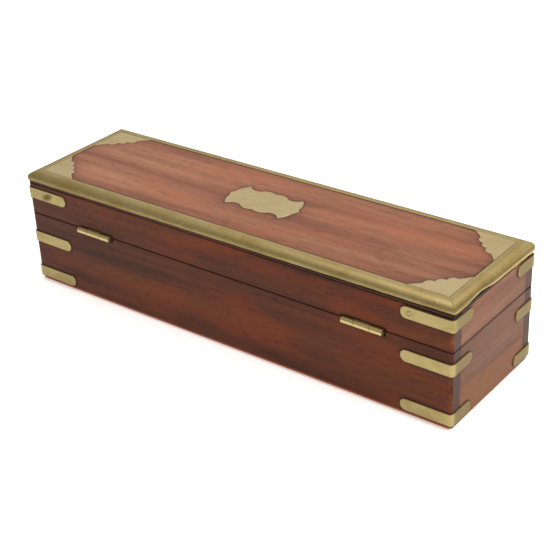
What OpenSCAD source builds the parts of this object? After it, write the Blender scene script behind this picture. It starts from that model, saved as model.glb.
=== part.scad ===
// Brass-bound hardwood pen box: boarded base and lid, formed brass edging, wrapped
// corner straps, inlaid brass plates, two butt hinges, a small box lock, a velvet
// lining and a lift-out tray with channels for pens.
// +X runs along the length, +Y points to the hinge side, +Z is up. The origin is the
// middle of the underside. Left and right are as seen from the lock side.

/* [Box] */
// Length over the wood
box_l = 305; // [290:1:320]
// Width over the wood, front to back
box_w = 85; // [82:1:92]
// Height to the wooden top of the lid
box_h = 76; // [74:1:80]
// Height of the seam between base and lid
seam_z = 48.5; // [47:0.5:50]
// Thickness of the side boards
board_t = 8; // [7.5:0.5:8.5]
// Thickness of the bottom board
bottom_t = 6; // [5:0.5:7]
// Thickness of the lid's top board
top_t = 7; // [6.5:0.5:7.5]
// Rounding of the lower outside edge
foot_r = 3; // [2:0.5:4]
// Rounding of the upright corners
arris_r = 1.2; // [0.8:0.2:1.6]

/* [Brass] */
// Width of the edging on the lid's top
edge_w = 7.5; // [7:0.5:8]
// Depth of the edging down the lid's side
edge_h = 6; // [5.5:0.5:6.5]
// Radius of the edging's rounded shoulder
edge_r = 5.2; // [4.8:0.2:5.2]
// Width of the corner straps
strap_w = 7.4; // [6:0.2:8]
// Length of a strap along the front or rear
strap_long = 32; // [28:1:36]
// Length of a strap along an end
strap_short = 19.5; // [16:0.5:22]
// Middle heights of the lower base straps: rear left, front left, rear right, front right
strap_low_z = [7.4, 7.4, 7.2, 7.2]; // [6.5:0.1:8.5]
// Middle heights of the upper base straps, set by eye, so uneven
strap_mid_z = [38, 36.6, 32, 32]; // [30:0.1:40]
// Middle heights of the lid straps
strap_lid_z = [64.3, 64.3, 62.6, 62.6]; // [60:0.1:64.7]
// Leg of the triangular corner plates
plate_leg = 25.5; // [23:0.5:27]
// Half length of the cartouche, to the point on its end
cart_x = 25.4; // [23:0.2:27]
// Half width of the cartouche, to its ears
cart_y = 12.8; // [12:0.2:13.4]
// Where the cartouche's middle stands from the lid's middle
cart_at = [0.8, -2];

/* [Hinges] */
// Distance of each hinge from the middle of the box
hinge_x = 98; // [90:1:104]
// Length of a hinge
hinge_l = 26; // [25:1:30]
// Radius of the hinge knuckles
knuckle_r = 2; // [1.9:0.05:2.05]
// Radius of the hinge pins
pin_r = 0.9; // [0.8:0.05:1]

/* [Tray] */
// Height of the pen tray
tray_h = 16; // [15:0.5:17]
// Radius of the pen channels
channel_r = 8.4; // [8:0.1:8.6]
// Distance between pen channels
channel_pitch = 19; // [18.5:0.1:19.2]

/* [Hidden] */
$fn = 48;
seam_gap = 0.3;                 // daylight between base and lid
base_top = seam_z - seam_gap / 2;
lid_bottom = seam_z + seam_gap / 2;
panel_z = box_h - top_t;        // underside of the lid's top board
in_l = box_l - 2 * board_t;     // clear length between the end boards
in_w = box_w - 2 * board_t;     // clear width between the long boards

sheet_t = 0.9;                  // brass sheet of the edging
proud_side = 0.5;               // how far the edging stands out from the wood
proud_top = 0.2;                // how far the edging stands above the top board
plate_t = 0.8;                  // corner plates and cartouche
plate_proud = 0.1;
plate_near = 5.6;               // the plate's cusps run from (plate_far, plate_near)
plate_far = 18.9;               // to (plate_near, plate_far)
plate_swell = 0.3;              // bow of the plate's two gentle stretches
plate_bite = 1.9;               // depth of its bites
cart_waist = [8.4, 1.4];        // end of the swell beside the notch: along, below the ear
cart_ear = 6.4;                 // the ear stands this far short of the end's point
cart_hip = [2.2, 4];            // where the end's outline turns from swell to hollow
panel_x = box_l / 2 + proud_side - edge_w;  // inner line of the edging, along X
panel_y = box_w / 2 + proud_side - edge_w;  // inner line of the edging, along Y

strap_t = 0.7;
pin_from_tip = 5.3;             // a strap's pins stand this far from its tips
shank_r = 0.55;                 // brass pins
head_r = 1.25;
head_h = 0.35;
shank_l = 5;
fit = 0.03;                     // radial room round a pin or screw in its hole
nail_r = 0.45;
nail_head_r = 0.95;
nail_l = 5;
nail_count = 6;

hinge_y = box_w / 2 + 0.7;      // hinge axis, just outside the rear face
hinge_z = seam_z - 1;
leaf_t = 1;
leaf_w = 7.5;
knuckle_mid = 10.4;             // length of the middle knuckle
knuckle_gap = 0.25;
knuckle_room = 0.15;            // leaf cut back round the other leaf's knuckles
bore_room = 0.05;               // radial room of the pin in its knuckles
notch = 1.1;                    // the wood is cut away this far beyond the knuckles
mortise_room = 0.25;
screw_r = 0.9;
screw_head_r = 1.6;
screw_head_h = 0.8;
screw_l = 6;
screw_x = 9.5;
screw_y = hinge_y - 4.9;

lock_l = 36;                    // lock case
lock_d = 6;
lock_h = 18;
lock_wall = 1.2;
selvage_l = 46;
selvage_t = 1;
lock_in = box_w / 2 - board_t + 0.2;        // case face nearest the inside of the box
lock_y = -(lock_in + lock_d / 2);           // middle plane of the bolt
lock_top = base_top - selvage_t;
lock_screw_x = 20.4;
hook_x = 9;                     // the two hooks stand this far from the middle
hook_t = 1.8;
hook_low = seam_z - 7;
hook_foot = 1.8;
hook_set = 3;                   // the hook's back stands this far left of hook_x
hook_reach = 3.5;
hook_slot = 4.4;                // slots in the case, wide enough for hook and finger
bolt_t = 2.4;
bolt_left = 7;                  // the bar reaches this far left and right of the middle
bolt_right = 14.6;
bolt_bar_h = 2.4;
bolt_bar_z = hook_low - 2.9;    // underside of the bar
finger_x = 3.8;                 // the bolt's fingers, right of hook_x
finger_w = 1.8;
finger_reach = 3.5;
finger_h = 2;
key_notch_r = 2;
key_z = 36;
key_r = 1.7;
key_slot = [1.6, 4.6];
key_post_r = 0.6;
key_post_l = 4.6;
link_x = 17;
lock_screw_head_r = 1.4;
lock_screw_r = 0.7;
escutcheon_r = 12;              // the two circles whose overlap is the escutcheon
escutcheon_dx = 6;
escutcheon_z = key_z - 1.2;
escutcheon_t = 0.9;
escutcheon_proud = 0.3;

lining_t = 0.8;
floor_lining_t = 1.5;
lining_top = base_top - 0.9;
ledger_t = 5;
tray_gap = 1;                   // room between the tray and the wall lining
tray_l = in_l - 2 * (lining_t + tray_gap);
tray_w = in_w - 2 * (lining_t + tray_gap);
tray_rail = 3;
tray_floor_t = 2;
tray_top = base_top - 1.85;
tray_z = tray_top - tray_h;
divider_t = 4;
former_base = 2.6;
former_gap = 0.2;
former_l = (tray_l - 2 * tray_rail - divider_t) / 2 - 2 * former_gap;
former_w = tray_w - 2 * tray_rail - 2 * former_gap;
ridge_h = 9;                    // height of the ridges between the pen channels
pull_w = 12;
pull_t = 0.9;
lid_pad_t = 2.8;

wood = "#6b3a28";
wood_top = "#9a6a55";
brass = "#b5a468";
velvet = "#1f4034";
ribbon = "#7a1f2b";

// ---- outlines -------------------------------------------------------------------

// Points of a circular arc from p to q that bulges by sag to the left of the way.
function bow(p, q, sag, n = 8) =
  let (d = q - p, c = norm(d), r = (c * c / 4 + sag * sag) / (2 * abs(sag)),
       s = sign(sag), left = [-d[1], d[0]] / c,
       m = (p + q) / 2 - left * s * (r - abs(sag)),
       half = asin(min(1, c / (2 * r))), a0 = atan2(left[1] * s, left[0] * s))
  [for (i = [0 : n - 1]) let (a = a0 + s * half * (1 - 2 * i / n)) m + r * [cos(a), sin(a)]];

// One quarter of the cartouche, from the notch in its long side to the end's point.
function cartouche_quarter() = concat(
  bow([0, cart_y - cart_waist[1]], [cart_waist[0], cart_y - cart_waist[1]], 1.1),
  bow([cart_waist[0], cart_y - cart_waist[1]], [cart_x - cart_ear, cart_y], -2.6),
  bow([cart_x - cart_ear, cart_y], [cart_x - cart_hip[0], cart_hip[1]], 0.9),
  bow([cart_x - cart_hip[0], cart_hip[1]], [cart_x, 0], -0.4));

function mirrored(pts, sx, sy) = [for (p = pts) [p[0] * sx, p[1] * sy]];
function backwards(pts) = [for (i = [len(pts) - 1 : -1 : 0]) pts[i]];

module cartouche_outline() {
  q = cartouche_quarter();
  tip = [[cart_x, 0]];
  half = concat(q, tip, backwards(mirrored([for (i = [1 : len(q) - 1]) q[i]], 1, -1)));
  translate(cart_at) polygon(concat(half, mirrored([q[0]], 1, -1),
                 backwards(mirrored([for (i = [1 : len(half) - 1]) half[i]], -1, 1))));
}

// A corner plate with its right angle at the origin and three bites in its long side.
module plate_outline() {
  a = plate_leg;
  step = (plate_far - plate_near) / 3;
  bites = [for (i = [0 : 3]) [plate_far - i * step, plate_near + i * step]];
  polygon(concat(
    [[0, 0]],
    bow([a, 0], bites[0], plate_swell),
    [for (i = [0 : 2]) each bow(bites[i], bites[i + 1], -plate_bite)],
    bow(bites[3], [0, a], plate_swell),
    [[0, a]]));
}

module keyhole_outline() {
  circle(key_r);
  translate([-key_slot[0] / 2, -key_slot[1]]) square(key_slot);
}

// ---- placing --------------------------------------------------------------------

// Runs a flat section, drawn as (outwards, up), along X over the given length.
module along_x(length) {
  translate([-length / 2, 0, 0]) rotate([90, 0, 90]) linear_extrude(length) children();
}

// Turns something built on the rear side (+Y) to the side named.
module on_side(side) {
  turn = side == "rear" ? 0 : side == "front" ? 180 : side == "left" ? 90 : -90;
  rotate([0, 0, turn]) children();
}

// Mirrors something built in the +X +Y corner to the corner with these signs.
module in_corner(sx, sy) {
  mirror([sx < 0 ? 1 : 0, 0, 0]) mirror([0, sy < 0 ? 1 : 0, 0]) children();
}

module all_corners() {
  for (sx = [-1, 1], sy = [-1, 1]) in_corner(sx, sy) children();
}

// ---- fasteners ------------------------------------------------------------------

// A brass pin driven along -Z, with the underside of its low domed head at z = 0.
module brass_pin(room = 0) {
  translate([0, 0, -shank_l - room]) cylinder(h = shank_l + room + 0.01, r = shank_r + room);
  if (room == 0)
    intersection() {
      cylinder(h = head_h, r = head_r);
      translate([0, 0, head_h - 3]) sphere(3);
    }
}

// Height of a strap's middle line at the corner with these signs.
function strap_level(row, sx, sy) =
  let (heights = row == "low" ? strap_low_z : row == "mid" ? strap_mid_z : strap_lid_z)
  heights[(sx < 0 ? 0 : 2) + (sy > 0 ? 0 : 1)];

// The pins of all straps in the rows named.
module strap_pins(rows, room = 0) {
  for (row = rows, sx = [-1, 1], sy = [-1, 1])
    in_corner(sx, sy) strap_pins_at(strap_level(row, sx, sy), room);
}

// The two pins of one strap in the +X +Y corner.
module strap_pins_at(z, room = 0) {
  translate([box_l / 2 + strap_t - strap_long + pin_from_tip, box_w / 2 + strap_t, z])
    rotate([-90, 0, 0]) brass_pin(room);
  translate([box_l / 2 + strap_t, box_w / 2 + strap_t - strap_short + pin_from_tip, z])
    rotate([0, 90, 0]) brass_pin(room);
}

// A countersunk wood screw driven along -Z, with its flat head's face at z = 0.
module wood_screw(room = 0, head = screw_head_r, shank = screw_r, length = screw_l) {
  translate([0, 0, -length - room]) cylinder(h = length + room, r = shank + room);
  translate([0, 0, -screw_head_h]) cylinder(h = screw_head_h, r1 = shank + room, r2 = head + room);
  if (room > 0) cylinder(h = 1, r = head + room);
}

module driver_slot(head = screw_head_r) {
  translate([-head, -0.2, -0.4]) cube([2 * head, 0.4, 1]);
}

module hinge_screws(up, room = 0) {
  for (sx = [-1, 1], dx = [-1, 1])
    translate([sx * hinge_x + dx * screw_x, screw_y, up ? lid_bottom : base_top])
      rotate([up ? 180 : 0, 0, 0])
        if (room > 0) wood_screw(room);
        else difference() {
          wood_screw();
          driver_slot();
        }
}

module lock_screws(room = 0) {
  for (sx = [-1, 1])
    translate([sx * lock_screw_x, lock_y, base_top])
      if (room > 0) wood_screw(room, lock_screw_head_r, lock_screw_r);
      else difference() {
        wood_screw(0, lock_screw_head_r, lock_screw_r);
        driver_slot(lock_screw_head_r);
      }
}

module link_screws(room = 0) {
  for (sx = [-1, 1])
    translate([sx * link_x, lock_y, lid_bottom]) rotate([180, 0, 0])
      if (room > 0) wood_screw(room, lock_screw_head_r, lock_screw_r);
      else difference() {
        wood_screw(0, lock_screw_head_r, lock_screw_r);
        driver_slot(lock_screw_head_r);
      }
}

// Small nails through the edging's shoulder at 45 degrees.
module edging_nails(side, room = 0) {
  long_side = side == "front" || side == "rear";
  out = (long_side ? box_w : box_l) / 2 + proud_side - edge_r;
  span = long_side ? box_l - 23 : 0;
  count = long_side ? nail_count : 1;
  on_side(side)
    for (i = [0 : count - 1])
      translate([count > 1 ? -span / 2 + i * span / (count - 1) : 0, out,
                 box_h + proud_top - edge_r])
        rotate([-45, 0, 0]) {
          translate([0, 0, edge_r - nail_l - room]) cylinder(h = nail_l + room, r = nail_r + room);
          translate([0, 0, edge_r - 0.45]) cylinder(h = room > 0 ? 1 : 0.5, r = nail_head_r + room);
        }
}

// ---- wood -----------------------------------------------------------------------

// A board's section: its outer face at u = board_t, its lower outer corner rounded.
module board_section(height, r) {
  difference() {
    square([board_t, height]);
    difference() {
      translate([board_t - r, -1]) square([r + 1, r + 1]);
      translate([board_t - r, r]) circle(r);
    }
  }
}

// Cutter that leaves a round of radius r on an edge along +Y through the origin,
// for wood that lies at x < 0 and z > 0.
module foot_cutter(length, r) {
  difference() {
    translate([-r, -length / 2, -1]) cube([r + 1, length, r + 1]);
    translate([-r, length / 2 + 1, r]) rotate([90, 0, 0]) cylinder(h = length + 2, r = r);
  }
}

// Cutter that rounds the upright corner at the origin of wood at x < 0 and y < 0.
module arris_cutter(height, r) {
  difference() {
    translate([-r, -r, -1]) cube([r + 1, r + 1, height + 2]);
    translate([-r, -r, -2]) cylinder(h = height + 4, r = r);
  }
}

module long_board(height, r) {
  difference() {
    along_x(box_l) translate([box_w / 2 - board_t, 0]) board_section(height, r);
    for (sx = [0, 1]) mirror([sx, 0, 0]) {
      if (r > 0) translate([box_l / 2, 0, 0]) foot_cutter(2 * box_w, r);
      translate([box_l / 2, box_w / 2, 0]) arris_cutter(height, arris_r);
    }
  }
}

module end_board(height, r) {
  translate([box_l / 2 - board_t, in_w / 2, 0]) rotate([90, 0, 0])
    linear_extrude(in_w) board_section(height, r);
}

// Room for the hinges: the two leaves and the knuckles.
module hinge_mortises() {
  for (sx = [-1, 1]) translate([sx * hinge_x, 0, 0]) {
    translate([-hinge_l / 2 - 0.2, hinge_y - leaf_w - 0.1, base_top - leaf_t])
      cube([hinge_l + 0.4, 20, 2 * leaf_t + seam_gap]);
    translate([-hinge_l / 2 - notch, hinge_y, hinge_z]) rotate([0, 90, 0])
      cylinder(h = hinge_l + 2 * notch, r = knuckle_r + mortise_room);
  }
}

module lock_mortise() {
  translate([-lock_l / 2 - 0.1, -lock_in - lock_d - 0.1, lock_top - lock_h - 0.1])
    cube([lock_l + 0.2, lock_d + 3, lock_h + 5]);
  translate([-selvage_l / 2 - 0.1, -lock_in - lock_d - 0.5, lock_top])
    cube([selvage_l + 0.2, lock_d + 3, 5]);
  translate([0, -box_w / 2 + 5, key_z]) rotate([90, 0, 0]) linear_extrude(10) keyhole_outline();
  translate([0, -box_w / 2 - 1, escutcheon_z]) rotate([-90, 0, 0])
    linear_extrude(escutcheon_t - escutcheon_proud + 1) escutcheon_outline();
}

module base_front_board() {
  color(wood) difference() {
    mirror([0, 1, 0]) long_board(base_top, foot_r);
    lock_mortise();
    lock_screws(fit);
    strap_pins(["low", "mid"], fit);
  }
}

module base_rear_board() {
  color(wood) difference() {
    long_board(base_top, foot_r);
    hinge_mortises();
    hinge_screws(false, fit);
    strap_pins(["low", "mid"], fit);
  }
}

module base_end_board(sx) {
  color(wood) difference() {
    in_corner(sx, 1) end_board(base_top, foot_r);
    strap_pins(["low", "mid"], fit);
  }
}

module bottom_board() {
  color(wood) translate([-in_l / 2, -in_w / 2, 0]) cube([in_l, in_w, bottom_t]);
}

module tray_ledgers() {
  color(wood) for (sx = [0, 1]) mirror([sx, 0, 0])
    translate([in_l / 2 - lining_t - ledger_t, -in_w / 2 + lining_t + 0.2, tray_z - ledger_t])
      cube([ledger_t, in_w - 2 * lining_t - 0.4, ledger_t]);
}

module lid_long_rail() {
  translate([0, 0, lid_bottom]) long_board(panel_z - lid_bottom, 0);
}

module lid_front_rail() {
  color(wood) difference() {
    mirror([0, 1, 0]) lid_long_rail();
    translate([-selvage_l / 2 - 0.1, -lock_in - lock_d - 0.5, lid_bottom - 1])
      cube([selvage_l + 0.2, lock_d + 0.6, selvage_t + 1]);
    link_screws(fit);
    strap_pins(["lid"], fit);
  }
}

module lid_rear_rail() {
  color(wood) difference() {
    lid_long_rail();
    hinge_mortises();
    hinge_screws(true, fit);
    strap_pins(["lid"], fit);
  }
}

module lid_end_rail(sx) {
  color(wood) difference() {
    translate([0, 0, lid_bottom]) in_corner(sx, 1) end_board(panel_z - lid_bottom, 0);
    strap_pins(["lid"], fit);
  }
}

// Everything inside the edging's sheet, as (inwards, down) from its outer corner.
module edging_core() {
  translate([edge_r, edge_r]) circle(edge_r - sheet_t);
  translate([edge_r, sheet_t]) square([40, 40]);
  translate([sheet_t, edge_r]) square([40, 40]);
}

// The formed sheet: a flat on the top, a round shoulder and a short drop.
module edging_section() {
  difference() {
    intersection() {
      square([edge_w, edge_h]);
      union() {
        translate([edge_r, edge_r]) circle(edge_r);
        translate([edge_r, 0]) square([40, 40]);
        translate([0, edge_r]) square([40, 40]);
      }
    }
    edging_core();
  }
}

// The top board's section across a given width, rebated for the edging.
module panel_section(width) {
  difference() {
    translate([-width / 2, panel_z]) square([width, top_t]);
    for (s = [0, 1]) mirror([s, 0])
      translate([width / 2 + proud_side, box_h + proud_top]) mirror([1, 0]) mirror([0, 1])
        difference() {
          translate([-3, -3]) square([edge_w + 3, edge_h + 3]);
          edging_core();
        }
  }
}

module lid_top_board() {
  color(wood_top) difference() {
    intersection() {
      along_x(box_l) panel_section(box_w);
      rotate([0, 0, 90]) along_x(box_w) panel_section(box_l);
    }
    all_corners() translate([panel_x, panel_y, box_h - plate_t + plate_proud])
      rotate([0, 0, 180]) linear_extrude(5) plate_outline();
    translate([0, 0, box_h - plate_t + plate_proud]) linear_extrude(5) cartouche_outline();
    for (side = ["front", "rear", "left", "right"]) edging_nails(side, fit);
  }
}

// ---- brass on the lid's top -----------------------------------------------------

module edging(side) {
  long_side = side == "front" || side == "rear";
  run = (long_side ? box_l : box_w) + 2 * proud_side;
  out = (long_side ? box_w : box_l) / 2 + proud_side;
  color(brass) difference() {
    on_side(side) intersection() {
      along_x(run + 2) translate([out, box_h + proud_top]) mirror([1, 0]) mirror([0, 1])
        edging_section();
      translate([0, out, panel_z]) linear_extrude(top_t + 2)
        polygon([[-run / 2, 0], [run / 2, 0], [run / 2 - 2 * edge_w, -2 * edge_w],
                 [-run / 2 + 2 * edge_w, -2 * edge_w]]);
    }
    edging_nails(side, fit);
  }
}

module corner_plate(sx, sy) {
  color(brass) in_corner(sx, sy)
    translate([panel_x, panel_y, box_h - plate_t + plate_proud]) rotate([0, 0, 180])
      linear_extrude(plate_t) plate_outline();
}

module cartouche() {
  color(brass) translate([0, 0, box_h - plate_t + plate_proud])
    linear_extrude(plate_t) cartouche_outline();
}

// ---- corner straps --------------------------------------------------------------

// One leg of a strap, drawn flat: round at the far end, square at the corner.
module strap_leg(length) {
  translate([-length + strap_w / 2, 0]) circle(strap_w / 2);
  translate([-length + strap_w / 2, -strap_w / 2]) square([length - strap_w / 2, strap_w]);
}

module strap(sx, sy, row) {
  z = strap_level(row, sx, sy);
  color(brass) in_corner(sx, sy) difference() {
    translate([box_l / 2 + strap_t, box_w / 2 + strap_t, z]) union() {
      rotate([90, 0, 0]) linear_extrude(strap_t) strap_leg(strap_long);
      rotate([90, 0, 90]) translate([0, 0, -strap_t]) linear_extrude(strap_t)
        strap_leg(strap_short);
    }
    strap_pins_at(z, fit);
  }
}

module lid_pins() {
  color(brass) {
    strap_pins(["lid"]);
    for (side = ["front", "rear", "left", "right"]) edging_nails(side);
  }
}

module base_pins() {
  color(brass) strap_pins(["low", "mid"]);
}

// ---- hinges ---------------------------------------------------------------------

module knuckle(x0, x1, r) {
  translate([x0, hinge_y, hinge_z]) rotate([0, 90, 0]) cylinder(h = x1 - x0, r = r);
}

// The base leaf carries the two outer knuckles.
module hinge_base_leaf(sx) {
  m = knuckle_mid / 2;
  e = hinge_l / 2;
  color(brass) difference() {
    translate([sx * hinge_x, 0, 0]) difference() {
      union() {
        difference() {
          translate([-e, hinge_y - leaf_w, base_top - leaf_t]) cube([hinge_l, leaf_w, leaf_t]);
          knuckle(-m - knuckle_gap, m + knuckle_gap, knuckle_r + knuckle_room);
        }
        knuckle(-e, -m - knuckle_gap, knuckle_r);
        knuckle(m + knuckle_gap, e, knuckle_r);
      }
      knuckle(-hinge_l, hinge_l, pin_r + bore_room);
    }
    hinge_screws(false, fit);
  }
}

// The lid leaf carries the middle knuckle.
module hinge_lid_leaf(sx) {
  m = knuckle_mid / 2;
  e = hinge_l / 2;
  color(brass) difference() {
    translate([sx * hinge_x, 0, 0]) difference() {
      union() {
        difference() {
          translate([-e, hinge_y - leaf_w, lid_bottom]) cube([hinge_l, leaf_w, leaf_t]);
          knuckle(-e - 1, -m, knuckle_r + knuckle_room);
          knuckle(m, e + 1, knuckle_r + knuckle_room);
          translate([-e, hinge_y - 1.2, lid_bottom - 1]) cube([e - m, 2, 4]);
          translate([m, hinge_y - 1.2, lid_bottom - 1]) cube([e - m, 2, 4]);
        }
        knuckle(-m, m, knuckle_r);
      }
      knuckle(-hinge_l, hinge_l, pin_r + bore_room);
    }
    hinge_screws(true, fit);
  }
}

module hinge_pin(sx) {
  color(brass) translate([sx * hinge_x, 0, 0])
    knuckle(-hinge_l / 2 - 0.15, hinge_l / 2 + 0.15, pin_r);
}

module base_screws() {
  color(brass) {
    hinge_screws(false);
    lock_screws();
  }
}

module lid_screws() {
  color(brass) {
    hinge_screws(true);
    link_screws();
  }
}

// ---- lock -----------------------------------------------------------------------

// The space that the bolt and the hooks need inside the case.
module lock_cavity() {
  translate([-lock_l / 2 + lock_wall, lock_y - lock_d / 2 + lock_wall, lock_top - lock_h + lock_wall])
    cube([lock_l - 2 * lock_wall, lock_d - 2 * lock_wall, lock_h - 2 * lock_wall]);
}

module lock_case() {
  color(brass) {
    difference() {
      union() {
        translate([-lock_l / 2, lock_y - lock_d / 2, lock_top - lock_h])
          cube([lock_l, lock_d, lock_h]);
        translate([-selvage_l / 2, lock_y - lock_d / 2 - 0.4, lock_top])
          cube([selvage_l, lock_d + 0.4, selvage_t]);
      }
      lock_cavity();
      for (sx = [-1, 1])
        translate([sx * hook_x - hook_set - 0.4, lock_y - hook_t / 2 - 0.4, lock_top - 3])
          cube([hook_slot, hook_t + 0.8, 6]);
      translate([0, lock_y - 1, key_z]) rotate([90, 0, 0]) linear_extrude(5) keyhole_outline();
      lock_screws(fit);
    }
    translate([0, lock_y + lock_d / 2 - lock_wall + 0.2, key_z]) rotate([90, 0, 0])
      cylinder(h = key_post_l, r = key_post_r, $fn = 24);
  }
}

// The bolt's bar with two fingers that reach over the hooks' feet when it is thrown.
module lock_bolt() {
  finger_top = hook_low + 4.5;
  color(brass) difference() {
    translate([0, lock_y + bolt_t / 2, 0]) rotate([90, 0, 0]) linear_extrude(bolt_t) {
      translate([-bolt_left, bolt_bar_z]) square([bolt_left + bolt_right, bolt_bar_h]);
      for (sx = [-1, 1]) translate([sx * hook_x + finger_x, 0]) {
        translate([0, bolt_bar_z]) square([finger_w, finger_top - bolt_bar_z]);
        translate([finger_w - finger_reach, finger_top - finger_h])
          square([finger_reach, finger_h]);
      }
    }
    translate([0, lock_y - 3, bolt_bar_z - 0.8]) rotate([-90, 0, 0])
      cylinder(h = 6, r = key_notch_r);
  }
}

// The plate let into the lid's front rail, with its two hooks.
module lid_link_plate() {
  color(brass) difference() {
    union() {
      translate([-selvage_l / 2, lock_y - lock_d / 2 - 0.4, lid_bottom])
        cube([selvage_l, lock_d + 0.4, selvage_t]);
      for (sx = [-1, 1]) translate([sx * hook_x, lock_y - hook_t / 2, 0]) {
        translate([-hook_set, 0, hook_low]) cube([hook_t, hook_t, lid_bottom + 0.5 - hook_low]);
        translate([-hook_set, 0, hook_low]) cube([hook_reach, hook_t, hook_foot]);
      }
    }
    link_screws(fit);
  }
}

// A pointed oval made by two circles, standing upright.
module escutcheon_outline() {
  intersection() {
    translate([-escutcheon_dx, 0]) circle(escutcheon_r);
    translate([escutcheon_dx, 0]) circle(escutcheon_r);
  }
}

module escutcheon() {
  color(brass) difference() {
    translate([0, -box_w / 2 - escutcheon_proud, escutcheon_z]) rotate([-90, 0, 0])
      linear_extrude(escutcheon_t) escutcheon_outline();
    translate([0, -box_w / 2 + 5, key_z]) rotate([90, 0, 0]) linear_extrude(10) keyhole_outline();
  }
}

// ---- lining ---------------------------------------------------------------------

module wall_lining(z0, z1) {
  color(velvet) difference() {
    translate([-in_l / 2, -in_w / 2, z0]) cube([in_l, in_w, z1 - z0]);
    translate([-in_l / 2 + lining_t, -in_w / 2 + lining_t, z0 - 1])
      cube([in_l - 2 * lining_t, in_w - 2 * lining_t, z1 - z0 + 2]);
  }
}

module base_wall_lining() { wall_lining(bottom_t, lining_top); }

module lid_wall_lining() { wall_lining(lid_bottom + 0.9, panel_z); }

module base_floor_lining() {
  color(velvet) translate([-in_l / 2 + 1, -in_w / 2 + 1, bottom_t])
    cube([in_l - 2, in_w - 2, floor_lining_t]);
}

module lid_pad() {
  color(velvet) translate([-in_l / 2 + 1.3, -in_w / 2 + 1.3, panel_z - 0.1 - lid_pad_t])
    cube([in_l - 2.6, in_w - 2.6, lid_pad_t]);
}

// ---- pen tray -------------------------------------------------------------------

module tray_long_rail(sy) {
  color(wood) in_corner(1, sy) translate([-tray_l / 2, tray_w / 2 - tray_rail, tray_z])
    cube([tray_l, tray_rail, tray_h]);
}

module tray_end_rail(sx) {
  color(wood) in_corner(sx, 1)
    translate([tray_l / 2 - tray_rail, -tray_w / 2 + tray_rail, tray_z])
      cube([tray_rail, tray_w - 2 * tray_rail, tray_h]);
}

module tray_floor() {
  color(wood) translate([-tray_l / 2 + tray_rail, -tray_w / 2 + tray_rail, tray_z])
    cube([tray_l - 2 * tray_rail, tray_w - 2 * tray_rail, tray_floor_t]);
}

module pen_channels(sx) {
  z0 = tray_z + tray_floor_t;
  color(velvet) in_corner(sx, 1)
    translate([divider_t / 2 + former_gap, 0, z0]) rotate([90, 0, 90]) linear_extrude(former_l)
      difference() {
        translate([-former_w / 2, 0]) square([former_w, ridge_h]);
        for (i = [-1 : 1]) translate([i * channel_pitch, former_base + channel_r])
          circle(channel_r);
      }
}

module tray_divider() {
  color(wood) translate([-divider_t / 2, -tray_w / 2 + tray_rail, tray_z + tray_floor_t])
    cube([divider_t, tray_w - 2 * tray_rail, tray_h - tray_floor_t - 1.5]);
}

// A ribbon tab inside each end of the tray, to lift it by.
module tray_pulls() {
  color(ribbon) for (sx = [0, 1]) mirror([sx, 0, 0])
    translate([tray_l / 2 - tray_rail - pull_t, -pull_w / 2, tray_z + tray_floor_t + ridge_h + 0.2])
      cube([pull_t, pull_w, tray_top + 1.5 - (tray_z + tray_floor_t + ridge_h + 0.2)]);
}

// ---- nodes ----------------------------------------------------------------------

bottom_board();
base_front_board();
base_rear_board();
base_end_board(-1);  // base_left_board
base_end_board(1);  // base_right_board
tray_ledgers();
base_wall_lining();
base_floor_lining();
lid_front_rail();
lid_rear_rail();
lid_end_rail(-1);  // lid_left_rail
lid_end_rail(1);  // lid_right_rail
lid_top_board();
lid_wall_lining();
lid_pad();
edging("front");  // edging_front
edging("rear");  // edging_rear
edging("left");  // edging_left
edging("right");  // edging_right
corner_plate(-1, -1);  // corner_plate_front_left
corner_plate(1, -1);  // corner_plate_front_right
corner_plate(-1, 1);  // corner_plate_rear_left
corner_plate(1, 1);  // corner_plate_rear_right
cartouche();
strap(-1, -1, "lid");  // lid_strap_front_left
strap(1, -1, "lid");  // lid_strap_front_right
strap(-1, 1, "lid");  // lid_strap_rear_left
strap(1, 1, "lid");  // lid_strap_rear_right
strap(-1, -1, "mid");  // upper_strap_front_left
strap(1, -1, "mid");  // upper_strap_front_right
strap(-1, 1, "mid");  // upper_strap_rear_left
strap(1, 1, "mid");  // upper_strap_rear_right
strap(-1, -1, "low");  // lower_strap_front_left
strap(1, -1, "low");  // lower_strap_front_right
strap(-1, 1, "low");  // lower_strap_rear_left
strap(1, 1, "low");  // lower_strap_rear_right
lid_pins();
base_pins();
hinge_base_leaf(-1);  // left_hinge_base_leaf
hinge_lid_leaf(-1);  // left_hinge_lid_leaf
hinge_pin(-1);  // left_hinge_pin
hinge_base_leaf(1);  // right_hinge_base_leaf
hinge_lid_leaf(1);  // right_hinge_lid_leaf
hinge_pin(1);  // right_hinge_pin
base_screws();
lid_screws();
lock_case();
lock_bolt();
lid_link_plate();
escutcheon();
tray_long_rail(-1);  // tray_front_rail
tray_long_rail(1);  // tray_rear_rail
tray_end_rail(-1);  // tray_left_rail
tray_end_rail(1);  // tray_right_rail
tray_floor();
pen_channels(-1);  // pen_channels_left
pen_channels(1);  // pen_channels_right
tray_divider();
tray_pulls();
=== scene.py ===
import math

import bpy
import numpy as np
from bpy.props import FloatProperty, FloatVectorProperty, PointerProperty
from mathutils import Matrix, Vector


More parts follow.
